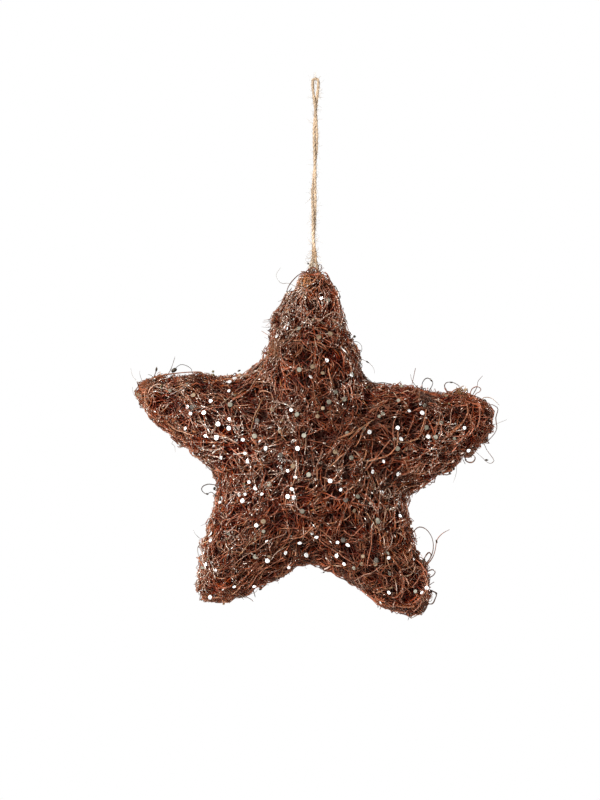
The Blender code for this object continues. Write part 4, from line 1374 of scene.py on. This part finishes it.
def make_twine(material):
    """The two-ply jute loop, its fuzz, and the frayed hairs where it enters the star."""
    rng = np.random.default_rng(DRAWS["twine"])
    route = twine_route()
    length = np.concatenate(((0,), np.cumsum(np.linalg.norm(np.diff(route, axis=0), axis=1))))
    angles = 2 * math.pi * np.arange(TWINE_SIDES) / TWINE_SIDES
    lobes = 1 - PLY_GROOVE * (1 - np.abs(np.cos(angles * PLIES / 2)))
    knots = rng.normal(0, 1, math.ceil(length[-1] / UNEVEN_LENGTH))
    uneven = 1 + UNEVEN_SHARE * np.interp(length, np.arange(0, length[-1], UNEVEN_LENGTH), knots)
    low_down = np.exp(-(((route[:, 2] - SWELL_AT) / SWELL_LENGTH) ** 2))
    swell = 1 + SWELL_SHARE * low_down
    radii = (YARN_SWELL * TWINE_RADIUS * uneven * swell)[None]
    turn = (2 * math.pi * length / PLY_PITCH)[None]
    fixed = np.broadcast_to((0.0, 1.0, 0.0), route.shape)[None]
    corners, loops, totals = tubes(route[None], fixed, radii, TWINE_SIDES, turn, lobes)
    yarn = np.exp(np.cumsum(rng.normal(0, 0.1, (len(route), TWINE_SIDES)), axis=0) % 1.2 - 0.6)
    # Painted shade: the tint darkens in the grooves between the plies
    painted_groove_shade = lobes**1.5
    stain = np.exp(0.22 * np.sin(length / (9 * MM) + np.sin(length / (5 * MM))))[:, None]
    brown = low_down[:, None, None] * np.array(SWELL_DARKENING)
    tints = (np.array(JUTE) * (yarn**0.5 * painted_groove_shade * stain)[..., None] * (1 - brown)).reshape(-1, 3)
    mesh = mesh_from_arrays("twine", corners, loops, totals, tints)
    twine = add_piece("twine", mesh, material)
    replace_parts(twine, "twine_loop")

    out = corners.reshape(len(route), TWINE_SIDES, 3)
    shown = np.flatnonzero(route[:, 2] > -LOOP_DROP)
    rings = rng.choice(shown, FUZZ_HAIRS)
    sides = rng.integers(0, TWINE_SIDES, FUZZ_HAIRS)
    starts = out[rings, sides]
    outward = unit(starts - route[rings])
    starts = starts - outward * FUZZ_ROOT
    headings = outward * rng.uniform(0.05, 0.7, (FUZZ_HAIRS, 1))
    headings = headings + rng.normal(0, 1.0, (FUZZ_HAIRS, 3)) * (0.15, 0.15, 1)
    lengths = rng.uniform(*FUZZ_LENGTH, FUZZ_HAIRS)
    for name, chosen in (
        ("twine_fuzz_upper", starts[:, 2] > -LOOP_DROP / 2),
        ("twine_fuzz_lower", starts[:, 2] <= -LOOP_DROP / 2),
    ):
        laid = starts[chosen], headings[chosen], lengths[chosen]
        points, fixed, radii = hairs(rng, *laid, FUZZ_RADIUS, FUZZ_RINGS, FUZZ_CURL)
        colours = np.array(JUTE) * np.exp(rng.normal(0, 0.3, (len(points), 1, 1))) * np.ones(points.shape)
        mesh = tinted_tubes(name, points, fixed, radii, 3, colours)
        add_piece(name, mesh, material)

    low = np.flatnonzero((route[:, 2] > FRAYED_TO) & (route[:, 2] < FRAYED_FROM))
    rings = rng.choice(low, FRAYED_HAIRS)
    headings = rng.normal(0, 0.22, (FRAYED_HAIRS, 3)) + (0, 0, -1.0)
    lengths = rng.uniform(*FRAYED_LENGTH, FRAYED_HAIRS)
    laid = route[rings], headings, lengths
    points, fixed, radii = hairs(rng, *laid, FRAYED_RADIUS, FRAYED_RINGS, FRAYED_CURL)
    colours = np.array(JUTE) * np.exp(rng.normal(-0.2, 0.4, (len(points), 1, 1))) * np.ones(points.shape)
    frayed = tinted_tubes("twine_frayed", points, fixed, radii, 3, colours)
    add_piece("twine_frayed", frayed, material)

    starts = np.array((LEG_DRIFT[-1][1], -0.4 * MM, WISP_START))
    starts = starts + rng.normal(0, 0.45, (WISPS, 3)) * MM
    across_fan = np.resize(WISP_LEANS, WISPS) + rng.normal(0, 0.09, WISPS)
    headings = np.stack((across_fan, rng.uniform(-0.75, 0.35, WISPS), np.full(WISPS, -1.0)), axis=1)
    lengths = rng.uniform(*WISP_LENGTH, WISPS)
    points, fixed, radii = hairs(rng, starts, headings, lengths, WISP_RADIUS, WISP_RINGS, WISP_CURL)
    colours = pick(rng, WISP_TINTS, WISPS)[:, None] * np.ones(points.shape)
    wisps = tinted_tubes("twine_wisps", points, fixed, radii, 4, colours)
    add_piece("twine_wisps", wisps, material)


def make_core(skin, material):
    """The matted heart of the star, well under its skin, dark with painted shade."""
    points = skin.points.copy()
    for share in CORE_STEPS:
        points, _ = skin.settle(points, share * CORE_DEPTH)
    points[skin.distance(points) > -CORE_SHALLOW * CORE_DEPTH] = HUB
    loops = skin.triangles.ravel()
    mesh = mesh_from_arrays("shaded_matted_core", points, loops, np.full(len(skin.triangles), 3))
    return add_piece("shaded_matted_core", mesh, material)


def make_camera():
    """A level camera straight before the photograph's middle, whose picture is as tall as its."""
    data = bpy.data.cameras.new("camera")
    camera = bpy.data.objects.new("camera", data)
    bpy.context.scene.collection.objects.link(camera)
    camera.location = camera_place()
    camera.rotation_euler = (math.radians(90), 0, 0)
    data.sensor_fit = "VERTICAL"
    data.sensor_height = SENSOR
    data.lens = SENSOR * CAMERA_DISTANCE / (PICTURE_HIGH * MM_PER_PIXEL * MM)
    data.clip_start = 0.05
    bpy.context.scene.camera = camera


def add_light(name, place, size, power):
    data = bpy.data.lights.new(name, "AREA")
    data.shape = "DISK"
    data.size = size
    data.energy = power
    light = bpy.data.objects.new(name, data)
    bpy.context.scene.collection.objects.link(light)
    light.visible_camera = False
    light.location = place
    light.rotation_euler = (Vector(HUB.tolist()) - Vector(place)).to_track_quat("-Z", "Y").to_euler()


def make_world():
    """White where the camera sees it, and a faint warm light on everything."""
    world = bpy.data.worlds.new("studio")
    bpy.context.scene.world = world
    world.use_nodes = True
    nodes = world.node_tree.nodes
    links = world.node_tree.links
    nodes.clear()
    seen = nodes.new("ShaderNodeBackground")
    seen.inputs["Color"].default_value = (1, 1, 1, 1)
    seen.inputs["Strength"].default_value = 1.0
    lighting = nodes.new("ShaderNodeBackground")
    lighting.inputs["Color"].default_value = WORLD_COLOUR
    lighting.inputs["Strength"].default_value = WORLD_STRENGTH
    path = nodes.new("ShaderNodeLightPath")
    mix = nodes.new("ShaderNodeMixShader")
    out = nodes.new("ShaderNodeOutputWorld")
    links.new(path.outputs["Is Camera Ray"], mix.inputs["Fac"])
    links.new(lighting.outputs["Background"], mix.inputs[1])
    links.new(seen.outputs["Background"], mix.inputs[2])
    links.new(mix.outputs["Shader"], out.inputs["Surface"])


def make_floor():
    """A plain pale floor under the star, which hangs over it."""
    angles = 2 * math.pi * np.arange(FLOOR_SIDES) / FLOOR_SIDES
    rim = FLOOR_RADIUS * np.stack((np.cos(angles), np.sin(angles)), axis=1)
    rings = [np.column_stack((rim, np.full(FLOOR_SIDES, z))) for z in (-FLOOR_THICKNESS, 0)]
    mesh = mesh_from_arrays("floor", *closed(np.stack(rings)[None]), smooth=False)
    nodes = Nodes("pale_floor")
    patches = nodes.remap(nodes.noise(3.0), 0.98, 1.02)
    nodes.link(nodes.scaled_colour((0.9, 0.9, 0.9), patches), nodes.shader.inputs["Base Color"])
    nodes.set(Roughness=0.8)
    place = nodes.add("ShaderNodeTexCoord")
    away = nodes.add("ShaderNodeVectorMath", operation="LENGTH")
    fade = nodes.add("ShaderNodeMapRange", interpolation_type="SMOOTHSTEP")
    nodes.set(fade, From_Min=FADE_FROM, From_Max=FADE_TO, To_Min=0.45)
    path = nodes.add("ShaderNodeLightPath")
    share = nodes.add("ShaderNodeMath", operation="MULTIPLY")
    white = nodes.add("ShaderNodeEmission")
    mix = nodes.add("ShaderNodeMixShader")
    nodes.link(place.outputs["Object"], away.inputs[0])
    nodes.link(away.outputs["Value"], fade.inputs["Value"])
    nodes.link(fade.outputs["Result"], share.inputs[0])
    nodes.link(path.outputs["Is Camera Ray"], share.inputs[1])
    nodes.link(share.outputs["Value"], mix.inputs["Fac"])
    nodes.link(nodes.shader.outputs["BSDF"], mix.inputs[1])
    nodes.link(white.outputs["Emission"], mix.inputs[2])
    nodes.link(mix.outputs["Shader"], nodes.tree.nodes["Material Output"].inputs["Surface"])
    mesh.materials.append(nodes.material)
    floor = bpy.data.objects.new("floor", mesh)
    floor.location = (0, 0, FLOOR_LEVEL)
    bpy.context.scene.collection.objects.link(floor)


def make_studio():
    bpy.context.scene.view_settings.view_transform = "Standard"
    make_world()
    make_floor()
    for light in LIGHTS:
        add_light(*light)


def main():
    make_camera()
    make_twine(tinted_material("jute", 0.75, 1.2, (0.7, 0.95), 0.2))
    skin = Skin("star_body")
    core = make_core(skin, shaded_core_material())
    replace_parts(core, "star_body")
    fibres = {}
    for name, specular, dusty in (("deep", 0.03, False), ("middle", 0.08, True), ("outer", 0.32, True)):
        fibres[name] = tinted_material(f"{name}_fibre", 0.55, 1.4, (0.36, 0.6), specular, dusty)
    fibre = fibres["outer"]
    strands = make_tangle(skin, fibres)
    make_clumps(skin, fibre)
    tendrils = make_tendrils(skin, fibre)
    make_seeds(skin, fibre, tendrils)
    make_shown(skin, fibre)
    glitter = tinted_material("glitter", 0.9, 1.1, (0.2, 0.35), metallic=0.4)
    husk = tinted_material("husk", 0.7, 1.3, (0.6, 0.9), 0.2)
    make_grains(skin, strands, glitter, husk)
    silver = sequin_material("silver", (0.96, 0.96, 0.95), 0.5, (0.15, 0.3))
    # A matte grey copy of the silver: its tints are painted reflection and shade
    dull_shaded = tinted_material("dull_shaded_silver", 0.75, 1.2, (0.5, 0.7), 0.3, metallic=0.15)
    make_sequins(skin, silver, dull_shaded)
    make_studio()


main()
